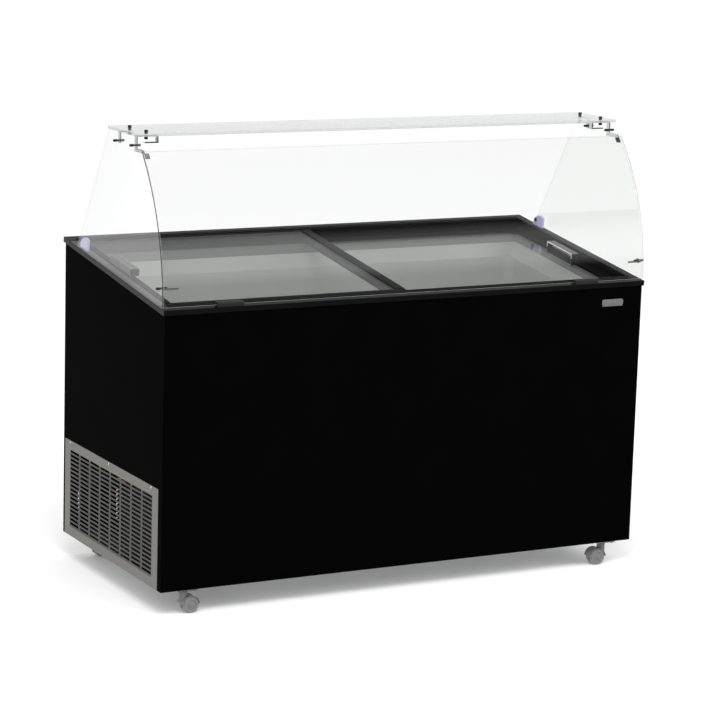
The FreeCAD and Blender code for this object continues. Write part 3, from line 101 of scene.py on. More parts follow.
class Graph:
    """Short calls that add and join the nodes of one tree."""

    def __init__(self, tree):
        self.tree = tree
        self.place = self.add("ShaderNodeTexCoord").outputs["Object"]

    def add(self, kind, **inputs):
        node = self.tree.nodes.new(kind)
        for name, value in inputs.items():
            self.feed(value, node.inputs[name.replace("_", " ")])
        return node

    def feed(self, value, socket):
        if isinstance(value, bpy.types.NodeSocket):
            self.tree.links.new(value, socket)
        else:
            socket.default_value = value

    def stretched(self, scale):
        """The place on the object, scaled by its own factor along each axis."""
        return self.add("ShaderNodeMapping", Vector=self.place, Scale=scale).outputs["Vector"]

    def noise(self, scale, detail=2.0, place=None):
        texture = self.add("ShaderNodeTexNoise", Vector=place or self.place, Scale=scale, Detail=detail)
        return texture.outputs["Fac"]

    def cells(self, scale):
        return self.add("ShaderNodeTexVoronoi", Vector=self.place, Scale=scale).outputs

    def math(self, operation, first, second=0.0):
        node = self.tree.nodes.new("ShaderNodeMath")
        node.operation = operation
        self.feed(first, node.inputs[0])
        self.feed(second, node.inputs[1])
        return node.outputs[0]

    def between(self, value, low, high, start=0.0, end=1.0):
        """Value from start to end, turned into a number from low to high."""
        node = self.add("ShaderNodeMapRange", Value=value)
        self.feed(start, node.inputs["From Min"])
        self.feed(end, node.inputs["From Max"])
        self.feed(low, node.inputs["To Min"])
        self.feed(high, node.inputs["To Max"])
        return node.outputs["Result"]

    def blend(self, amount, first, second):
        node = self.tree.nodes.new("ShaderNodeMix")
        node.data_type = "RGBA"
        colours = [socket for socket in node.inputs if socket.type == "RGBA"]
        self.feed(amount, node.inputs["Factor"])
        self.feed(first, colours[0])
        self.feed(second, colours[1])
        return next(socket for socket in node.outputs if socket.type == "RGBA")


class Finish(Graph):
    """The nodes of one material."""

    def __init__(self, name):
        self.material = bpy.data.materials.new(name)
        self.material.use_nodes = True
        super().__init__(self.material.node_tree)
        self.shader = self.tree.nodes["Principled BSDF"]
        self.output = self.tree.nodes["Material Output"]

    def bump(self, height, distance, strength=1.0):
        node = self.add("ShaderNodeBump", Height=height, Distance=distance, Strength=strength)
        self.feed(node.outputs["Normal"], self.shader.inputs["Normal"])

    def set(self, **inputs):
        for name, value in inputs.items():
            self.feed(value, self.shader.inputs[name.replace("_", " ")])

    def mix(self, share, through, over):
        """Two shaders make the surface, in place of the usual one: share is that of the second."""
        self.tree.nodes.remove(self.shader)
        mixed = self.add("ShaderNodeMixShader", Fac=share)
        self.feed(through, mixed.inputs[1])
        self.feed(over, mixed.inputs[2])
        self.feed(mixed.outputs[0], self.output.inputs["Surface"])


def grey(level, tint=(1.0, 1.0, 1.0)):
    return tuple(level * part for part in tint) + (1.0,)


def shaded(colour, factor):
    """The colour made darker or paler, up to white."""
    return tuple(min(1.0, factor * part) for part in colour[:3]) + (1.0,)


def powder_coat(name, colour, mottled, rough, specular):
    """Baked powder paint: a fine orange peel, and slow changes of gloss."""
    graph = Finish(name)
    slow = graph.noise(9.0, detail=3.0)
    graph.set(Base_Color=graph.blend(slow, colour, mottled))
    graph.set(Roughness=graph.between(slow, rough - 0.06, rough + 0.06))
    graph.set(Specular_IOR_Level=specular)
    graph.bump(graph.noise(700.0, detail=1.0), 0.0002, 0.25)
    return graph.material


def grille_paint_and_bar_shade():
    """Warm grey powder paint, with painted shade that darkens the narrow strips between the slots."""
    graph = Finish("grille_paint_and_bar_shade")
    low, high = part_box("side_grille")
    parts = graph.add("ShaderNodeSeparateXYZ", Vector=graph.place).outputs
    inside = []
    soft = 0.0005
    for axis, letter, border in ((1, "Y", GRILLE_SIDE_BORDER), (2, "Z", GRILLE_TOP_BORDER)):
        middle = (low[axis] + high[axis]) / 2.0
        reach = (high[axis] - low[axis]) / 2.0 - border
        off = graph.math("ABSOLUTE", graph.math("SUBTRACT", parts[letter], middle))
        inside.append(graph.between(off, 1.0, 0.0, reach - soft, reach + soft))
    # Mask of the narrow strips between the slots, which get painted shade
    bar_shade = graph.math("MULTIPLY", *inside)
    slow = graph.noise(9.0, detail=3.0)
    warm = (1.0, 0.98, 0.90)
    frame_paint = graph.blend(slow, grey(0.14, warm), grey(0.17, warm))
    # Painted shade: the strips between the slots take a darker grey than the frame
    graph.set(Base_Color=graph.blend(bar_shade, frame_paint, grey(0.055, warm)))
    graph.set(Roughness=graph.between(slow, 0.44, 0.56))
    graph.set(Specular_IOR_Level=0.3)
    graph.bump(graph.noise(700.0, detail=1.0), 0.0002, 0.25)
    return graph.material


def moulded_plastic(name, colour, rough, specular=0.5):
    """Injection moulding: spark-eroded grain and a faint change of shade along the flow."""
    graph = Finish(name)
    flow = graph.noise(25.0, detail=4.0)
    graph.set(Base_Color=graph.blend(flow, shaded(colour, 0.8), colour))
    graph.set(Roughness=graph.between(flow, rough - 0.05, rough + 0.08))
    graph.set(Specular_IOR_Level=specular)
    graph.bump(graph.noise(1400.0), 0.0001, 0.4)
    return graph.material


def lined(along, slow, quick):
    """Texture scale of lines that run along X or Y: slow along them and quick across."""
    return (slow, quick, quick) if along == "X" else (quick, slow, quick)


def extruded_plastic(name, colour, rough, along="X", specular=0.5):
    """Extruded profile: die lines that run along it."""
    graph = Finish(name)
    graph.set(Specular_IOR_Level=specular)
    lines = graph.noise(1.0, detail=3.0, place=graph.stretched(lined(along, 3.0, 900.0)))
    slow = graph.noise(12.0)
    graph.set(Base_Color=graph.blend(slow, colour, shaded(colour, 1.35)))
    graph.set(Roughness=graph.between(lines, rough - 0.07, rough + 0.1))
    graph.bump(lines, 0.00008, 0.5)
    return graph.material


def brushed_metal(name, colour, rough, along="X"):
    """Metal with fine scratches that run along one axis."""
    graph = Finish(name)
    lines = graph.noise(1.0, detail=4.0, place=graph.stretched(lined(along, 8.0, 1200.0)))
    graph.set(Base_Color=graph.blend(lines, colour, shaded(colour, 1.15)))
    graph.set(Metallic=1.0)
    graph.set(Roughness=graph.between(lines, rough - 0.08, rough + 0.1))
    graph.bump(lines, 0.00004, 0.5)
    return graph.material


def galvanised_sheet():
    """Zinc spangle: crystals of about a centimetre, each with its own brightness and gloss."""
    graph = Finish("galvanised_sheet")
    crystals = graph.cells(90.0)["Color"]
    tone = graph.add("ShaderNodeSeparateColor", Color=crystals).outputs["Red"]
    graph.set(Base_Color=graph.blend(tone, grey(0.36), grey(0.60, (0.97, 0.99, 1.0))))
    graph.set(Metallic=0.9)
    graph.set(Roughness=graph.between(tone, 0.32, 0.52))
    graph.bump(graph.noise(400.0), 0.00008, 0.3)
    return graph.material


def liner_sheet():
    """Pre-painted aluminium with a stucco emboss."""
    graph = Finish("liner_sheet")
    stucco = graph.noise(240.0, detail=1.0)
    soft = graph.between(stucco, 0.0, 1.0, 0.35, 0.65)
    graph.set(Base_Color=graph.blend(graph.noise(6.0), grey(0.64, (1.0, 1.0, 0.98)), grey(0.71)))
    graph.set(Metallic=0.15)
    graph.set(Roughness=graph.between(soft, 0.28, 0.42))
    graph.bump(soft, 0.0006, 0.35)
    return graph.material


def foam_block():
    """Cut polyurethane foam, with its cells open."""
    graph = Finish("foam_block")
    cells = graph.cells(260.0)["Distance"]
    graph.set(Base_Color=graph.blend(cells, grey(0.62, (1.0, 0.9, 0.62)), grey(0.82, (1.0, 0.93, 0.70))))
    graph.set(Roughness=0.9)
    graph.bump(cells, 0.001, 0.6)
    return graph.material


def pane(name, tint, shine, rough, grazing):
    """Clear glass: towards grazing angles it mirrors more and its tint deepens."""
    graph = Finish(name)
    facing = graph.add("ShaderNodeLayerWeight", Blend=0.5).outputs["Facing"]
    mirrored = graph.math("POWER", facing, 5.0)
    share = graph.between(mirrored, shine, 1.0)
    slant = graph.between(facing, 0.0, 1.0, 0.6, 0.85)
    seen_through = graph.blend(slant, tint, grazing)
    through = graph.add("ShaderNodeBsdfTransparent", Color=seen_through).outputs["BSDF"]
    wiped = graph.between(graph.noise(5.0, detail=3.0), rough, rough + 0.015)
    gloss = graph.add("ShaderNodeBsdfGlossy", Color=(1.0, 1.0, 1.0, 1.0), Roughness=wiped).outputs["BSDF"]
    graph.mix(share, through, gloss)
    return graph.material


def clear_edge(name, colour, cover):
    """A polished edge that the light behind it mostly shines through."""
    graph = Finish(name)
    streaks = graph.noise(6.0, detail=2.0)
    through = graph.add("ShaderNodeBsdfTransparent", Color=grey(0.97)).outputs["BSDF"]
    body = graph.add("ShaderNodeBsdfDiffuse", Color=colour).outputs["BSDF"]
    graph.mix(graph.between(streaks, cover - 0.04, cover + 0.04), through, body)
    return graph.material


def glass_edge(name, colour, rough, specular):
    """The ground and polished edge of a pane in a given colour: the glass's own tint on the lids,
    near-black painted shade on the bent pane's left end.
    """
    graph = Finish(name)
    shade = graph.noise(60.0, detail=3.0)
    graph.set(Base_Color=graph.blend(shade, shaded(colour, 0.7), colour))
    graph.set(Roughness=graph.between(shade, rough, rough + 0.12))
    graph.set(Specular_IOR_Level=specular)
    return graph.material


def brushes():
    """Black bristles, with streaks that run up them."""
    graph = Finish("brush_pile")
    hairs = graph.noise(1.0, detail=2.0, place=graph.stretched((2500.0, 2500.0, 60.0)))
    graph.set(Base_Color=graph.blend(hairs, grey(0.01), grey(0.06)))
    graph.set(Roughness=0.85)
    graph.set(Sheen_Weight=0.3)
    graph.bump(hairs, 0.0004, 0.8)
    return graph.material


def fins_in_painted_shade():
    """Thin fins coloured near-black as painted shade, so that the compartment behind the grille reads dark.
    """
    graph = Finish("fins_in_painted_shade")
    crease = graph.noise(70.0, detail=3.0)
    # Painted shade: the fins are near-black so the slots show a dark compartment
    graph.set(Base_Color=graph.blend(crease, grey(0.012, (1.0, 0.95, 0.9)), grey(0.03)))
    graph.set(Metallic=0.3)
    graph.set(Roughness=graph.between(crease, 0.4, 0.6))
    return graph.material


def drawn_copper():
    """Drawn copper tube with brown tarnish in patches."""
    graph = Finish("drawn_copper")
    tarnish = graph.noise(45.0, detail=5.0)
    brown = graph.between(tarnish, 0.0, 1.0, 0.45, 0.7)
    graph.set(Base_Color=graph.blend(brown, (0.80, 0.40, 0.24, 1.0), (0.34, 0.16, 0.09, 1.0)))
    graph.set(Metallic=0.95)
    graph.set(Roughness=graph.between(brown, 0.25, 0.5))
    return graph.material


def rubber():
    """Black rubber with a pale bloom."""
    graph = Finish("moulded_rubber")
    bloom = graph.noise(80.0, detail=4.0)
    graph.set(Base_Color=graph.blend(bloom, grey(0.012), grey(0.035)))
    graph.set(Roughness=graph.between(bloom, 0.6, 0.85))
    graph.set(Specular_IOR_Level=0.3)
    graph.bump(graph.noise(900.0), 0.0001, 0.4)
    return graph.material


def make_materials():
    """One material for each slot of the record."""
    lavender = (0.56, 0.53, 0.80, 1.0)
    lid_tint = (0.92, 0.93, 0.92, 1.0)
    return {
        "black_sheet": powder_coat("black_powder_coat", grey(0.0009), grey(0.0015), 0.42, 0.002),
        "galvanised": galvanised_sheet(),
        "foam": foam_block(),
        "liner_metal": liner_sheet(),
        "rail_plastic": extruded_plastic("rail_extrusion", grey(0.004), 0.22, specular=0.10),
        "collar_plastic": moulded_plastic("collar_moulding", grey(0.20), 0.5),
        "lid_frame_black": extruded_plastic("lid_frame_extrusion", grey(0.003), 0.4, specular=0.08),
        "lid_glass": pane("low_emission_glass", lid_tint, shine=0.05, rough=0.01, grazing=lid_tint),
        "handle_grey": extruded_plastic("handle_extrusion", grey(0.11), 0.32, "Y", specular=0.3),
        "brush_seal": brushes(),
        "canopy_glass": pane("canopy_glass", (0.975, 0.980, 0.976, 1.0), shine=0.03, rough=0.0,
                             grazing=(0.70, 0.72, 0.71, 1.0)),
        "bracket_steel": brushed_metal("bracket_steel", grey(0.55), 0.16),
        "dark_bolt": brushed_metal("blackened_bolt", grey(0.05), 0.35),
        "shoe_black": moulded_plastic("shoe_moulding", grey(0.012), 0.4),
        "lavender_plastic": moulded_plastic("holder_moulding", lavender, 0.35),
        "badge_grey": brushed_metal("badge_metal", grey(0.60), 0.40),
        "grille_grey": grille_paint_and_bar_shade(),
        "screw_zinc": brushed_metal("zinc_plate", grey(0.72), 0.25, "Y"),
        "compressor_paint": powder_coat("compressor_enamel", grey(0.01), grey(0.02), 0.35, 0.5),
        "rubber": rubber(),
        "fin_aluminium": fins_in_painted_shade(),
        "copper": drawn_copper(),
        "fan_plastic": moulded_plastic("fan_nylon", grey(0.03), 0.45),
        "motor_grey": powder_coat("motor_paint", grey(0.18), grey(0.24), 0.5, 0.5),
        "tray_black": moulded_plastic("tray_moulding", grey(0.015), 0.5),
        "drain_white": moulded_plastic("drain_tube_plastic", grey(0.7), 0.4),
        "caster_plastic": moulded_plastic("caster_nylon", grey(0.19), 0.4),
        "wheel_plastic": moulded_plastic("wheel_nylon", grey(0.22), 0.35),
        "caster_steel": brushed_metal("caster_zinc", grey(0.6), 0.3),
    }


MATERIALS = make_materials()
EDGE_CLEAR = clear_edge("polished_edge", grey(0.50, (0.98, 1.0, 0.99)), 0.40)
EDGE_FAINT = clear_edge("side_glass_edge", grey(0.62, (0.98, 1.0, 0.99)), 0.12)
# Painted shade: near-black on the bent pane's left end, for the dark line that the clear glass's edge shows
EDGE_PAINTED_SHADE = glass_edge("bent_glass_edge_painted_shade", grey(0.012, (0.95, 1.0, 0.97)), 0.3, 0.1)
EDGE_DARK = glass_edge("lid_glass_edge", (0.05, 0.08, 0.07, 1.0), 0.2, 0.6)
CHEEK_BLACK = moulded_plastic("handle_cheek", grey(0.008), 0.35, specular=0.3)
# Painted reflection: pale grey for the light that the pull's recess reflects
HANDLE_PAINTED_REFLECTION = moulded_plastic("handle_painted_reflection", grey(0.80), 0.35)
# Painted light: a paler copy of the rail black, for the top face of the left rail only, which the light
# makes look greyer
LEDGE_PAINTED_LIGHT = extruded_plastic("left_ledge_painted_light", grey(0.045, (1.0, 0.97, 0.93)), 0.3, "Y")
POINTER_WHITE = moulded_plastic("pointer_paint", grey(0.75), 0.4)


def slot_of(node):
    """The record's slot that a CAD node was packed with."""
    return NODES[node].data.materials[0].name.split(".")[0]


def dress_frame():
    """Give each CAD node its slot's finish, so that a node without a piece of its own has looks too."""
    for name, node in NODES.items():
        slot = slot_of(name)
        for place in node.material_slots:
            place.link = "OBJECT"
            place.material = MATERIALS[slot]


# ---------------------------------------------------------------- pieces

def add_piece(name, mesh, body):
    """A new object in the scene that rides on a body."""
    piece = bpy.data.objects.new(name, mesh)
    bpy.context.scene.collection.objects.link(piece)
    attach(piece, body)
    return piece


def sharp_edges(mesh, angle):
    return [edge for edge in mesh.edges
            if len(edge.link_faces) == 2 and edge.calc_face_angle() > angle]


def round_edges(shape, width, segments, crease):
    """Round the edges where faces meet at more than the crease angle, in degrees."""
    bmesh.ops.bevel(shape, geom=sharp_edges(shape, math.radians(crease)), offset=width,
                    offset_type="OFFSET", segments=segments, profile=0.5, affect="EDGES",
                    clamp_overlap=True)


def finish_mesh(shape, name, materials, smooth=SMOOTH_BELOW):
    """Turn a bmesh into a mesh with smooth faces between sharp corners."""
    mesh = bpy.data.meshes.new(name)
    shape.to_mesh(mesh)
    shape.free()
    for polygon in mesh.polygons:
        polygon.use_smooth = True
    mesh.set_sharp_from_angle(angle=math.radians(smooth))
    for material in materials:
        mesh.materials.append(material)
    return mesh


def even_shading(piece):
    piece.modifiers.new("even_shading", "WEIGHTED_NORMAL").keep_sharp = True


def refined(node, name, width=0.0, segments=2, crease=ROUND_ABOVE, smooth=SMOOTH_BELOW,
            extras=(), where=None, split=None):
    """A CAD node's own shape with its edges rounded to a width, shown in the node's place.

    The function named by where gives a face's place among the extra materials, counted from one,
    or zero for the finish of the node's own slot. Split is a plane's point and normal, and parts the
    faces that it crosses.
    """
    shape = bmesh.new()
    shape.from_mesh(NODES[node].data)
    bmesh.ops.remove_doubles(shape, verts=shape.verts, dist=WELD)
    flat = math.radians(FLAT_BELOW)
    bmesh.ops.dissolve_limit(shape, angle_limit=flat, verts=shape.verts, edges=shape.edges)
    if width > 0.0:
        round_edges(shape, width, segments, crease)
    if split:
        everything = [*shape.verts, *shape.edges, *shape.faces]
        bmesh.ops.bisect_plane(shape, geom=everything, plane_co=split[0], plane_no=split[1])
    for face in shape.faces:
        face.material_index = where(face) if extras else 0
    slot = slot_of(node)
    materials = [MATERIALS[slot], *extras]
    piece = add_piece(name, finish_mesh(shape, name, materials, smooth), NODE_BODY[node])
    even_shading(piece)
    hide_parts(node)


def axis_matrix(axis, place=(0.0, 0.0, 0.0)):
    """A frame at a place whose own Z looks along one of the named axes."""
    turn = Vector((0.0, 0.0, 1.0)).rotation_difference(AXES[axis]).to_matrix().to_4x4()
    return Matrix.Translation(place) @ turn


def lathe(shape, profile, frame_at, steps=40):
    """Add a turned surface: the profile's points are (radius, height) in the given frame."""
    rings = []
    for radius, height in profile:
        if radius == 0.0:
            rings.append([shape.verts.new(frame_at @ Vector((0.0, 0.0, height)))])
            continue
        ring = []
        for step in range(steps):
            angle = 2.0 * math.pi * step / steps
            spot = Vector((radius * math.cos(angle), radius * math.sin(angle), height))
            ring.append(shape.verts.new(frame_at @ spot))
        rings.append(ring)
    for low, high in zip(rings, rings[1:]):
        for step in range(steps):
            after = (step + 1) % steps
            corners = [low[step % len(low)], low[after % len(low)],
                       high[after % len(high)], high[step % len(high)]]
            kept = list(dict.fromkeys(corners))
            if len(kept) > 2:
                shape.faces.new(kept)


def brick(shape, low, high, frame_at=Matrix()):
    """Add a plain box between two corners of the given frame."""
    made = bmesh.ops.create_cube(shape, size=1.0)["verts"]
    size = Vector(high) - Vector(low)
    middle = (Vector(high) + Vector(low)) / 2.0
    for vertex in made:
        spot = Vector(part * length for part, length in zip(vertex.co, size)) + middle
        vertex.co = frame_at @ spot


def outward(shape):
    bmesh.ops.recalc_face_normals(shape, faces=shape.faces)


def whole_piece(name, shape, body, slot, replaced=()):
    """Finish a shape as a piece, in its slot's material, in place of the CAD nodes named."""
    outward(shape)
    piece = add_piece(name, finish_mesh(shape, name, [MATERIALS[slot]]), body)
    even_shading(piece)
    if replaced:
        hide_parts(*replaced)


def middle_of(node):
    low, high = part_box(node)
    return (Vector(low) + Vector(high)) / 2.0


# ---------------------------------------------------------------- cabinet and rails

def build_cabinet():
    for node in ("front_panel", "rear_panel", "left_panel", "right_panel"):
        refined(node, node + "_sheet", width=0.0003, segments=1)
    for node in ("front_top_rail", "rear_top_rail", "right_top_rail"):
        refined(node, node + "_profile", width=0.0007, segments=3)
    # The left rail's top face takes the paler black as painted light
    refined("left_top_rail", "left_top_rail_profile", width=0.0007, segments=3, extras=(LEDGE_PAINTED_LIGHT,),
            where=lambda face: int(face.normal.z > FACING))
    throat_moulding()
    refined("inner_liner", "tub_liner")
    refined("base_pan", "base_sheet", width=0.0002, segments=1)
    refined("badge_plate", "blank_badge", width=0.0006)


def throat_moulding():
    """The collar below the lids: dark above, with the tub's own finish on its lower part."""
    low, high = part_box("throat_collar")
    angle = slope_angle()
    length = (high[1] - low[1] - COLLAR_HEIGHT * math.sin(angle)) / math.cos(angle)
    band = high[2] - length * math.sin(angle) - COLLAR_DARK * math.cos(angle)

    def finish_of(face):
        spot = face.calc_center_median()
        edge = band + (spot.y - low[1]) * math.tan(angle)
        return int(spot.z < edge)
    refined("throat_collar", "throat_moulding", extras=(MATERIALS["liner_metal"],), where=finish_of,
            split=(Vector((0.0, low[1], band)), Vector((0.0, -math.sin(angle), math.cos(angle)))))


def rear_screws():
    """Pan-head screws round the rear panel, each with a cross recess."""
    low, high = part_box("rear_panel")
    face = high[1]
    margin, top_margin = 0.02, 0.03
    third = 0.32 * high[0]
    rows = [low[2] + margin, (low[2] + high[2]) / 2.0, high[2] - top_margin]
    spots = [(x, z) for x in (low[0] + margin, high[0] - margin) for z in rows]
    spots += [(x, z) for x in (-third, third) for z in (rows[0], rows[2])]
    shape = bmesh.new()
    for x, z in spots:
        screw_head(shape, axis_matrix("Y", (x, face, z)), radius=0.0042, height=0.002)
    whole_piece("rear_panel_screws", shape, "cabinet", "dark_bolt")


def screw_head(shape, frame_at, radius, height):
    """A domed head with a cross recess, standing on the frame's zero plane."""
    lathe(shape, [
        (radius, 0.0),
        (radius, 0.35 * height),
        (0.86 * radius, 0.75 * height),
        (0.55 * radius, height),
        (0.40 * radius, height),
        (0.30 * radius, 0.45 * height),
        (0.0, 0.40 * height),
    ], frame_at, steps=20)
    arm = 0.45 * radius
    for turn in (0.0, math.pi / 2.0):
        turned = frame_at @ Matrix.Rotation(turn, 4, "Z")
        brick(shape, (-arm, -0.12 * radius, 0.4 * height), (arm, 0.12 * radius, 0.9 * height), turned)


# ---------------------------------------------------------------- sliding lids

def slope_angle():
    """The incline of the lids, from the box of a flat pane and its thickness."""
    low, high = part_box("left_lid_glass")
    return math.atan2(high[2] - low[2] - LID_GLASS, high[1] - low[1])


def on_slope(point, angle):
    """A frame at a point, with its own Y up the slope of the lids and its Z square to them."""
    return Matrix.Translation(point) @ Matrix.Rotation(angle, 4, "X")


def lid_handle(side):
    """The pull: a satin grey channel with ribs on top, black cheeks, and a pale hand side and lower ledge
    that are a painted reflection of light in its recess.
    """
    node = side + "_lid_handle"
    low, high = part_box(node)
    angle = slope_angle()
    length = (high[1] - low[1]) / math.cos(angle)
    height = high[2] - low[2] - length * math.sin(angle)
    hand_side = 1.0 if side == "left" else -1.0

    def finish_of(face):
        spot = face.calc_center_median()
        back, up = spot.y - low[1], spot.z - low[2]
        along = back * math.cos(angle) + up * math.sin(angle)
        above = up * math.cos(angle) - back * math.sin(angle)
        if along < FRONT_CHEEK or along > length - REAR_CHEEK:
            return 1
        # The lower ledge and the hand side take the pale painted reflection
        on_ledge = face.normal.z > FACING and above < height / 2.0
        return 2 if on_ledge or face.normal.x * hand_side > FACING else 0
    refined(node, side + "_pull", width=0.0006, extras=(CHEEK_BLACK, HANDLE_PAINTED_REFLECTION), where=finish_of)


def gap_seal():
    """A brush seal: a backing strip with a row of bristle tufts below it."""
    low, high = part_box("lid_gap_seal")
    angle = slope_angle()
    short_by = 0.004
    inset = 0.003
    length = (high[1] - low[1]) / math.cos(angle) - short_by
    depth = (high[2] - low[2]) - length * math.sin(angle)
    top_front = Vector(((low[0] + high[0]) / 2.0, low[1] + inset, low[2] + depth))
    at = on_slope(top_front, angle)
    shape = bmesh.new()
    half = (high[0] - low[0]) / 2.0
    backing = 0.004
    brick(shape, (-half, 0.0, -backing), (half, length, 0.0), at)
    round_edges(shape, 0.0004, segments=1, crease=ROUND_ABOVE)
    chance = random.Random(11)
    pitch = 0.0016
    uneven = 0.002
    for number in range(int(length / pitch)):
        for row in (-1, 1):
            start = Vector((row * 0.4 * half, (number + 0.5) * pitch, -backing))
            lean = Vector((chance.uniform(-0.4, 0.4) * half, chance.uniform(-1.0, 1.0) * pitch, 0.0))
            drop = 0.97 * depth - backing - chance.uniform(0.0, uneven)
            tip = start + lean - Vector((0.0, 0.0, drop))
            tuft(shape, at, start, tip, radius=0.0006)
    whole_piece("lid_gap_brush", shape, "right_lid", "brush_seal", ["lid_gap_seal"])


def tuft(shape, at, start, tip, radius):
    """A thin three-sided spike."""
    foot = []
    for number in range(3):
        angle = 2.0 * math.pi * number / 3.0
        spot = start + radius * Vector((math.cos(angle), math.sin(angle), 0.0))
        foot.append(shape.verts.new(at @ spot))
    point = shape.verts.new(at @ tip)
    for first, second in zip(foot, foot[1:] + foot[:1]):
        shape.faces.new((first, second, point))


def build_lids():
    for side in ("left", "right"):
        refined(side + "_lid_frame", side + "_lid_profile", width=0.0006)
        refined(side + "_lid_glass", side + "_lid_pane", width=0.0003, segments=1,
                extras=(EDGE_DARK,), where=pane_edge_z)
        lid_handle(side)
    gap_seal()


# ---------------------------------------------------------------- canopy

def pane_edge_x(face):
    """One on the edges of an upright side pane."""
    return int(abs(face.normal.x) < FACING)


def pane_edge_z(face):
    """One on the edges of a level pane."""
    return int(abs(face.normal.z) < FACING)


def bent_pane_edge(face):
    """One on the left end of the bent pane, two on its other edges."""
    low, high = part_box("front_glass")
    if face.normal.x < -0.5:
        return 1
    middle = face.calc_center_median()
    thin = face.calc_area() < 0.5 * FRONT_GLASS * (high[0] - low[0])
    at_rim = middle.z < low[2] + 0.0005 or middle.z > high[2] - FRONT_GLASS and thin
    return 2 if at_rim or face.normal.x > 0.5 else 0


def build_canopy():
    for side in ("left", "right"):
        refined(side + "_side_glass", side + "_side_pane", width=PANE_EDGE, extras=(EDGE_FAINT,),
                where=pane_edge_x)
    refined("top_glass", "top_pane", width=PANE_EDGE, extras=(EDGE_CLEAR,), where=pane_edge_z)
    refined("front_glass", "front_pane", width=PANE_EDGE, extras=(EDGE_PAINTED_SHADE, EDGE_CLEAR),
            where=bent_pane_edge)
    for node in ("corner_connectors", "rear_top_clamps", "lower_corner_clips"):
        refined(node, node + "_steel", width=0.0004)
    refined("canopy_bolts", "canopy_through_bolts", width=0.0009, segments=3)
    refined("front_glass_shoes", "front_glass_feet", width=0.0008, segments=3)
    refined("rear_glass_holders", "side_glass_holders", width=0.0015, segments=3)
    holder_screws()


def holder_screws():
    """A dark screw in the inner face of each holder."""
    low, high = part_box("rear_glass_holders")
    inner_face, screw_from_back = 0.0092, 0.016
    height = low[2] + 0.62 * (high[2] - low[2])
    shape = bmesh.new()
    for side in (-1.0, 1.0):
        spot = (side * (high[0] - inner_face), high[1] - screw_from_back, height)
        turn = Matrix.Rotation(0.0 if side < 0 else math.pi, 4, "Z")
        frame_at = Matrix.Translation(spot) @ turn @ axis_matrix("X")
        screw_head(shape, frame_at, radius=0.006, height=0.0025)
    whole_piece("holder_screws", shape, "cabinet", "dark_bolt")


# ---------------------------------------------------------------- machine compartment

def build_grille():
    refined("side_grille", "grille_cover", width=0.0002, segments=1)
    low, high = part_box("grille_screws")
    middle = (low[2] + high[2]) / 2.0
    shape = bmesh.new()
    for spot in screw_places("grille_screws"):
        frame_at = Matrix.Translation((high[0], spot, middle)) @ axis_matrix("-X")
        screw_head(shape, frame_at, radius=(high[2] - low[2]) / 2.0, height=high[0] - low[0])
    whole_piece("grille_cover_screws", shape, "cabinet", "screw_zinc", ["grille_screws"])


def screw_places(node):
    """The Y of each separate head in one node, from its vertices."""
    places = []
    gap = 0.02
    for depth in sorted(vertex.co.y for vertex in NODES[node].data.vertices):
        if not places or depth - places[-1][1] > gap:
            places.append([depth, depth])
        places[-1][1] = depth
    return [(first + last) / 2.0 for first, last in places]


def condenser_bend():
    """Radius of the bends, which is half the pitch of the rows of tube."""
    low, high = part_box("condenser")
    return (high[2] - low[2]) / CONDENSER_ROWS / 2.0


def condenser_coil():
    """Copper tubes through the fins, joined by bends outside the end plates."""
    low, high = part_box("condenser")
    middle = (low[0] + high[0]) / 2.0
    bend = condenser_bend()
    rows = [low[2] + (2 * row + 1) * bend for row in range(CONDENSER_ROWS)]
    near = low[1] + bend + COIL_TUBE
    far = high[1] - bend - COIL_TUBE
    bend_steps = 8
    points = [Vector((middle, high[1], rows[0]))]
    for number, height in enumerate(rows):
        end, way = (near, -1.0) if number % 2 == 0 else (far, 1.0)
        points.append(Vector((middle, end, height)))
        if number + 1 < len(rows):
            for step in range(1, bend_steps):
                angle = math.pi * step / bend_steps
                points.append(Vector((middle, end + way * bend * math.sin(angle),
                                      height + bend * (1.0 - math.cos(angle)))))
    points.append(Vector((middle, high[1], rows[-1])))
    curve = bpy.data.curves.new("condenser_tube", "CURVE")
    curve.dimensions = "3D"
    curve.bevel_depth = COIL_TUBE
    curve.bevel_resolution = 5
    curve.use_fill_caps = True
    line = curve.splines.new("POLY")
    line.points.add(len(points) - 1)
    for place, point in zip(line.points, points):
        place.co = (*point, 1.0)
    curve.materials.append(MATERIALS["copper"])
    add_piece("condenser_tube", curve, "cabinet")


def condenser_fins():
    """A close stack of thin fins between two end plates, round the tubes."""
    low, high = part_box("condenser")
    clear_of_bends = 0.006
    room = condenser_bend() + clear_of_bends
    front, back = low[1] + room, high[1] - room
    pitch, fin = 0.0032, 0.0004
    side_gap, end_gap = 0.001, 0.004
    shape = bmesh.new()
    for number in range(int((back - front) / pitch)):
        y = front + (number + 0.5) * pitch
        brick(shape, (low[0] + side_gap, y, low[2] + end_gap),
              (high[0] - side_gap, y + fin, high[2] - end_gap))
    for y in (front - END_PLATE, back):
        brick(shape, (low[0], y, low[2]), (high[0], y + END_PLATE, high[2]))
    for z in (low[2], high[2] - END_PLATE):
        brick(shape, (low[0], front, z), (high[0], back, z + END_PLATE))
    whole_piece("condenser_fins", shape, "cabinet", "fin_aluminium", ["condenser"])


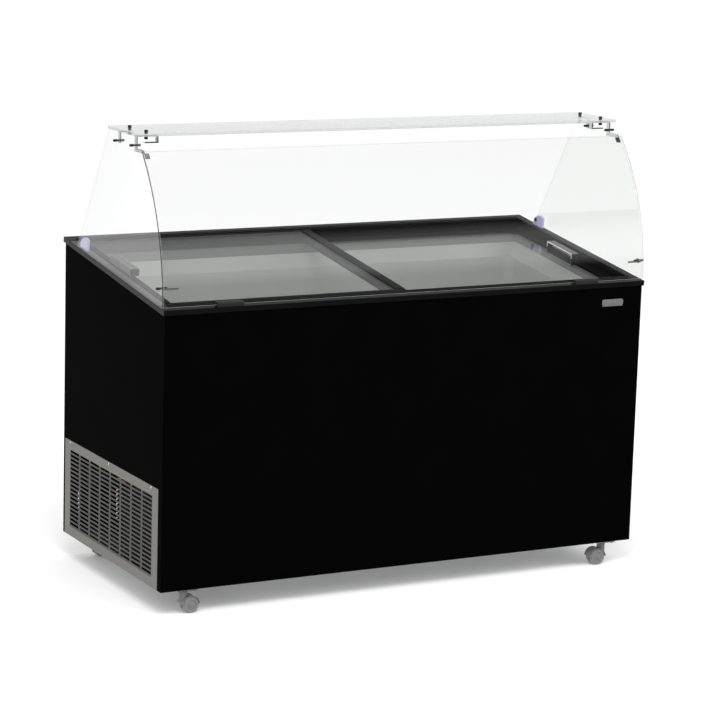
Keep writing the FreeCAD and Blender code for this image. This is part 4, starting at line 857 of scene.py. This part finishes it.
def terminal_clip():
    """A flat spring clip over the top and one side of the terminal cover."""
    low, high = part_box("terminal_cover")
    shape = bmesh.new()
    strip, half_width, foot = 0.0015, 0.006, 0.01
    middle = (low[1] + high[1]) / 2.0
    near, far = middle - half_width, middle + half_width
    brick(shape, (low[0], near, high[2]), (high[0] + strip, far, high[2] + strip))
    brick(shape, (high[0], near, low[2] + foot), (high[0] + strip, far, high[2] + strip))
    round_edges(shape, 0.0005, segments=1, crease=ROUND_ABOVE)
    whole_piece("terminal_cover_clip", shape, "cabinet", "screw_zinc")


def build_machine():
    condenser_fins()
    condenser_coil()
    refined("compressor", "compressor_can", width=0.0012, crease=50.0, smooth=50.0)
    refined("terminal_cover", "terminal_box", width=0.003, segments=3)
    terminal_clip()
    refined("compressor_mounts", "compressor_grommets", width=0.0015)
    refined("fan_shroud", "fan_cowl", width=0.0005, segments=1)
    refined("fan_motor", "fan_motor_can", width=0.0008, crease=40.0)
    refined("fan_blade", "fan_rotor", width=0.0004, segments=1)
    for node in ("discharge_pipe", "liquid_pipe", "suction_pipe", "filter_drier", "evaporator_coil"):
        refined(node, node + "_tube")
    refined("drain_tube", "drain_hose_tail", width=0.0006, crease=40.0)
    refined("drain_plug", "tub_bung", width=0.0008, crease=40.0)


# ---------------------------------------------------------------- rear service recess

def thermostat_dial():
    """A ribbed knob with a white pointer line."""
    low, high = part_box("thermostat_knob")
    centre = middle_of("thermostat_knob")
    radius = (high[0] - low[0]) / 2.0
    knob_length = 0.0155
    skirt_back = high[1] - knob_length
    at = axis_matrix("Y", (centre.x, skirt_back, centre.z))
    shape = bmesh.new()
    lathe(shape, [
        (0.0, 0.0),
        (radius, 0.0),
        (radius, 0.0028),
        (radius - 0.0014, 0.004),
        (radius - 0.0042, 0.0048),
        (radius - 0.0052, 0.0135),
        (radius - 0.0072, 0.0148),
        (0.0, 0.0150),
    ], at, steps=48)
    spindle, spindle_end = 0.003, low[1] - skirt_back
    lathe(shape, [(spindle, 0.0005), (spindle, spindle_end), (0.0, spindle_end)], at, steps=20)
    ribs = 24
    reach = radius - 0.0052
    for number in range(ribs):
        turned = at @ Matrix.Rotation(2.0 * math.pi * number / ribs, 4, "Z")
        brick(shape, (reach - 0.001, -0.0006, 0.005), (reach + 0.0009, 0.0006, 0.0128), turned)
    whole_piece("thermostat_dial_knob", shape, "thermostat_dial", "tray_black", ["thermostat_knob"])
    line = bmesh.new()
    half_width = 0.0009
    brick(line, (centre.x - half_width, high[1] - 0.0009, centre.z + 0.002),
          (centre.x + half_width, high[1] - 0.0002, centre.z + radius - 0.0075))
    outward(line)
    mesh = finish_mesh(line, "dial_pointer_line", [POINTER_WHITE])
    add_piece("dial_pointer_line", mesh, "thermostat_dial")


def cable_gland():
    """The gland: a six-sided flange and a ribbed dome nut with a hole for the lead."""
    low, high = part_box("mains_gland")
    centre = middle_of("mains_gland")
    radius = (high[0] - low[0]) / 2.0
    length = high[1] - low[1]
    at = axis_matrix("Y", (centre.x, low[1], centre.z))
    shape = bmesh.new()
    bore, stem = 0.004, 0.0079
    flange, nut = 0.012, 0.016
    lathe(shape, [(bore, 0.0), (stem, 0.0), (stem, flange), (bore, flange), (bore, 0.0)], at, steps=32)
    lathe(shape, [(bore, flange), (radius, flange), (radius, nut), (bore, nut), (bore, flange)],
          at, steps=6)
    lathe(shape, [
        (bore, nut),
        (radius - 0.0022, nut),
        (radius - 0.0022, length - 0.004),
        (radius - 0.0045, length - 0.0006),
        (bore + 0.0006, length),
        (bore, length - 0.0008),
        (bore, nut),
    ], at, steps=32)
    ribs = 12
    low_end, high_end = nut + 0.001, length - 0.0045
    for number in range(ribs):
        turned = at @ Matrix.Rotation(2.0 * math.pi * number / ribs, 4, "Z")
        brick(shape, (radius - 0.0030, -0.0008, low_end), (radius - 0.0016, 0.0008, high_end), turned)
    whole_piece("cable_gland_nut", shape, "cabinet", "tray_black", ["mains_gland"])


def vent_louvres():
    """A slanted flap behind each air slot of the rear panel, so that nothing shows through."""
    low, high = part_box("rear_panel")
    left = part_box("service_recess")[0][0]
    sheet = high[1] - low[1]
    flap = 0.013
    slant = math.radians(135.0)
    shape = bmesh.new()
    for row in range(VENT_ROWS):
        for column in range(VENT_COLUMNS):
            start = left + column * VENT_PITCH_X
            foot = low[2] + VENT_FOOT + row * VENT_PITCH_Z
            at = on_slope(Vector((start, low[1], foot)), slant)
            brick(shape, (0.0, 0.0, 0.0), (VENT_LENGTH, flap, sheet), at)
    whole_piece("rear_vent_louvres", shape, "cabinet", "black_sheet")


def build_recess():
    vent_louvres()
    refined("service_recess", "recess_tray", width=0.0006)
    refined("thermostat", "thermostat_case", width=0.0012)
    thermostat_dial()
    cable_gland()
    rear_screws()


# ---------------------------------------------------------------- casters

def caster_wheel_pair(corner):
    """Two wheels with a rounded tread, a recessed face and a hub cap."""
    node = "caster_wheels_" + corner
    low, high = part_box(node)
    centre = middle_of(node)
    radius = (high[2] - low[2]) / 2.0
    bore = 0.00305
    width = WHEEL_WIDTH
    spokes = 6
    shape = bmesh.new()
    for side in (-1.0, 1.0):
        outer_face = low[1] if side < 0 else high[1]
        turn = Matrix.Rotation(math.pi if side > 0 else 0.0, 4, "X")
        at = Matrix.Translation((centre.x, outer_face, centre.z)) @ turn @ axis_matrix("Y")
        lathe(shape, [
            (bore, 0.0004),
            (0.0055, 0.0004),
            (0.0062, 0.0010),
            (0.0066, 0.0022),
            (0.0125, 0.0026),
            (0.0152, 0.0022),
            (0.0160, 0.0008),
            (0.0172, 0.0),
            (radius - 0.0024, 0.0004),
            (radius - 0.0008, 0.0016),
            (radius, 0.0040),
            (radius, width - 0.0040),
            (radius - 0.0008, width - 0.0014),
            (radius - 0.0026, width),
            (bore, width),
            (bore, 0.0004),
        ], at, steps=48)
        for number in range(spokes):
            turned = at @ Matrix.Rotation(2.0 * math.pi * number / spokes, 4, "Z")
            brick(shape, (0.0062, -0.0007, 0.0012), (0.0156, 0.0007, 0.0027), turned)
    whole_piece("twin_wheels_" + corner, shape, "wheels_" + corner, "wheel_plastic", [node])


def build_casters():
    for corner in CORNERS:
        caster_wheel_pair(corner)
        refined("caster_hood_" + corner, "caster_cover_" + corner, width=0.0009, crease=40.0)
    refined("caster_plates", "caster_top_plates", width=0.0006)
    caster_bolts()


def caster_bolts():
    """Four hexagon-headed screws under each caster plate."""
    shape = bmesh.new()
    head = [(0.0, 0.0), (0.0042, 0.0), (0.0042, 0.0022), (0.0036, 0.0028), (0.0, 0.0028)]
    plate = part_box("caster_plates")
    under = plate[1][2] - CASTER_PLATE
    for corner in CORNERS:
        stem = middle_of("caster_wheels_" + corner)
        outward_x = math.copysign(CASTER_TRAIL, stem.x)
        for across in (-1.0, 1.0):
            for along in (-1.0, 1.0):
                spot = (stem.x + outward_x + across * BOLT_SPREAD, stem.y + along * BOLT_SPREAD, under)
                lathe(shape, head, axis_matrix("-Z", spot), steps=6)
    whole_piece("caster_plate_screws", shape, "cabinet", "caster_steel")


# ---------------------------------------------------------------- stage, light and camera

def build_floor():
    """A wide white floor that glossy surfaces don't see."""
    graph = Finish("studio_floor")
    graph.set(Base_Color=grey(0.97))
    graph.set(Roughness=0.8)
    graph.set(Specular_IOR_Level=0.2)
    graph.set(Emission_Color=grey(1.0))
    graph.set(Emission_Strength=0.08)
    size = 30.0
    mesh = bpy.data.meshes.new("studio_floor")
    corners = [(-size, -size, 0.0), (size, -size, 0.0), (size, size, 0.0), (-size, size, 0.0)]
    mesh.from_pydata(corners, [], [(0, 1, 2, 3)])
    mesh.materials.append(graph.material)
    floor = bpy.data.objects.new("studio_floor", mesh)
    floor.visible_glossy = False
    bpy.context.scene.collection.objects.link(floor)


# Where the mirrored room fades from one part to the next, as a direction's Y or Z, and how bright
# its dark part is: in front, and in the haze above the backdrop.
BACKDROP_STARTS = (-0.05, 0.2)
BACKDROP_ENDS = (0.27, 0.38)
HORIZON = (-0.02, 0.06)
CEILING_STARTS = (0.80, 0.95)
HAZE_ENDS = (0.5, 0.75)
ROOM_LIGHT = (0.03, 0.30)


def build_world():
    """White all round, but glossy surfaces see a dark room with a white backdrop and a lit ceiling."""
    world = bpy.data.worlds.new("studio")
    world.use_nodes = True
    bpy.context.scene.world = world
    graph = Graph(world.node_tree)
    way = graph.add("ShaderNodeTexCoord").outputs["Generated"]
    parts = graph.add("ShaderNodeSeparateXYZ", Vector=way).outputs
    depth, height = parts["Y"], parts["Z"]
    behind = graph.between(depth, 0.0, 1.0, *BACKDROP_STARTS)
    ahead = graph.math("SUBTRACT", 1.0, behind)
    low = graph.between(height, 1.0, 0.0, *BACKDROP_ENDS)
    above_floor = graph.between(height, 0.0, 1.0, *HORIZON)
    ceiling = graph.between(height, 0.0, 1.0, *CEILING_STARTS)
    backdrop = graph.math("MULTIPLY", behind, low)
    front_band = graph.math("MULTIPLY", graph.math("MULTIPLY", ahead, low), above_floor)
    bright = graph.math("MAXIMUM", graph.math("MAXIMUM", backdrop, front_band), ceiling)
    hazy = graph.math("MULTIPLY", behind, graph.between(height, 1.0, 0.0, *HAZE_ENDS))
    seen = graph.math("MAXIMUM", bright, graph.between(hazy, *ROOM_LIGHT))
    mirrored = graph.add("ShaderNodeCombineColor", Red=seen, Green=seen, Blue=seen).outputs["Color"]
    glossy = graph.add("ShaderNodeLightPath").outputs["Is Glossy Ray"]
    light = graph.blend(glossy, grey(1.0), mirrored)
    graph.feed(light, world.node_tree.nodes["Background"].inputs["Color"])


def add_softbox(name, place, target, size, power):
    """A rectangular light that faces its target."""
    light = bpy.data.lights.new(name, "AREA")
    light.shape = "RECTANGLE"
    light.size = size[0]
    light.size_y = size[1]
    light.energy = power
    lamp = bpy.data.objects.new(name, light)
    lamp.location = place
    lamp.rotation_euler = (Vector(target) - Vector(place)).to_track_quat("-Z", "Y").to_euler()
    bpy.context.scene.collection.objects.link(lamp)


def build_lights():
    """A key light high at the front left, and a weaker fill from the right."""
    middle = (0.0, 0.0, 0.9)
    add_softbox("key_softbox", (-1.5, -3.0, 4.5), middle, size=(3.0, 2.0), power=120.0)
    add_softbox("fill_softbox", (4.0, -2.5, 2.5), middle, size=(2.0, 2.0), power=60.0)


CAMERA_PLACE = Vector((-3.639, -6.80, 2.121))
CAMERA_AZIMUTH = math.radians(-28.3)
CAMERA_ELEVATION = math.radians(11.24)
CAMERA_ROLL = math.radians(1.72)
CAMERA_LENS = 137.5


def build_camera():
    """A long lens at a place, looking along an azimuth and an elevation, rolled about its own axis."""
    camera = bpy.data.cameras.new("camera")
    camera.lens = CAMERA_LENS
    camera.sensor_width = 36.0
    back = Vector((math.sin(CAMERA_AZIMUTH) * math.cos(CAMERA_ELEVATION),
                   -math.cos(CAMERA_AZIMUTH) * math.cos(CAMERA_ELEVATION),
                   math.sin(CAMERA_ELEVATION)))
    right = Vector((0.0, 0.0, 1.0)).cross(back).normalized()
    up = back.cross(right)
    level = Matrix((right, up, back)).transposed()
    turned = level @ Matrix.Rotation(CAMERA_ROLL, 3, "Z")
    holder = bpy.data.objects.new("camera", camera)
    holder.matrix_world = Matrix.Translation(CAMERA_PLACE) @ turned.to_4x4()
    bpy.context.scene.collection.objects.link(holder)
    bpy.context.scene.camera = holder


bpy.context.scene.view_settings.view_transform = "Standard"
dress_frame()
build_cabinet()
build_lids()
build_canopy()
build_grille()
build_machine()
build_recess()
build_casters()
build_floor()
build_world()
build_lights()
build_camera()
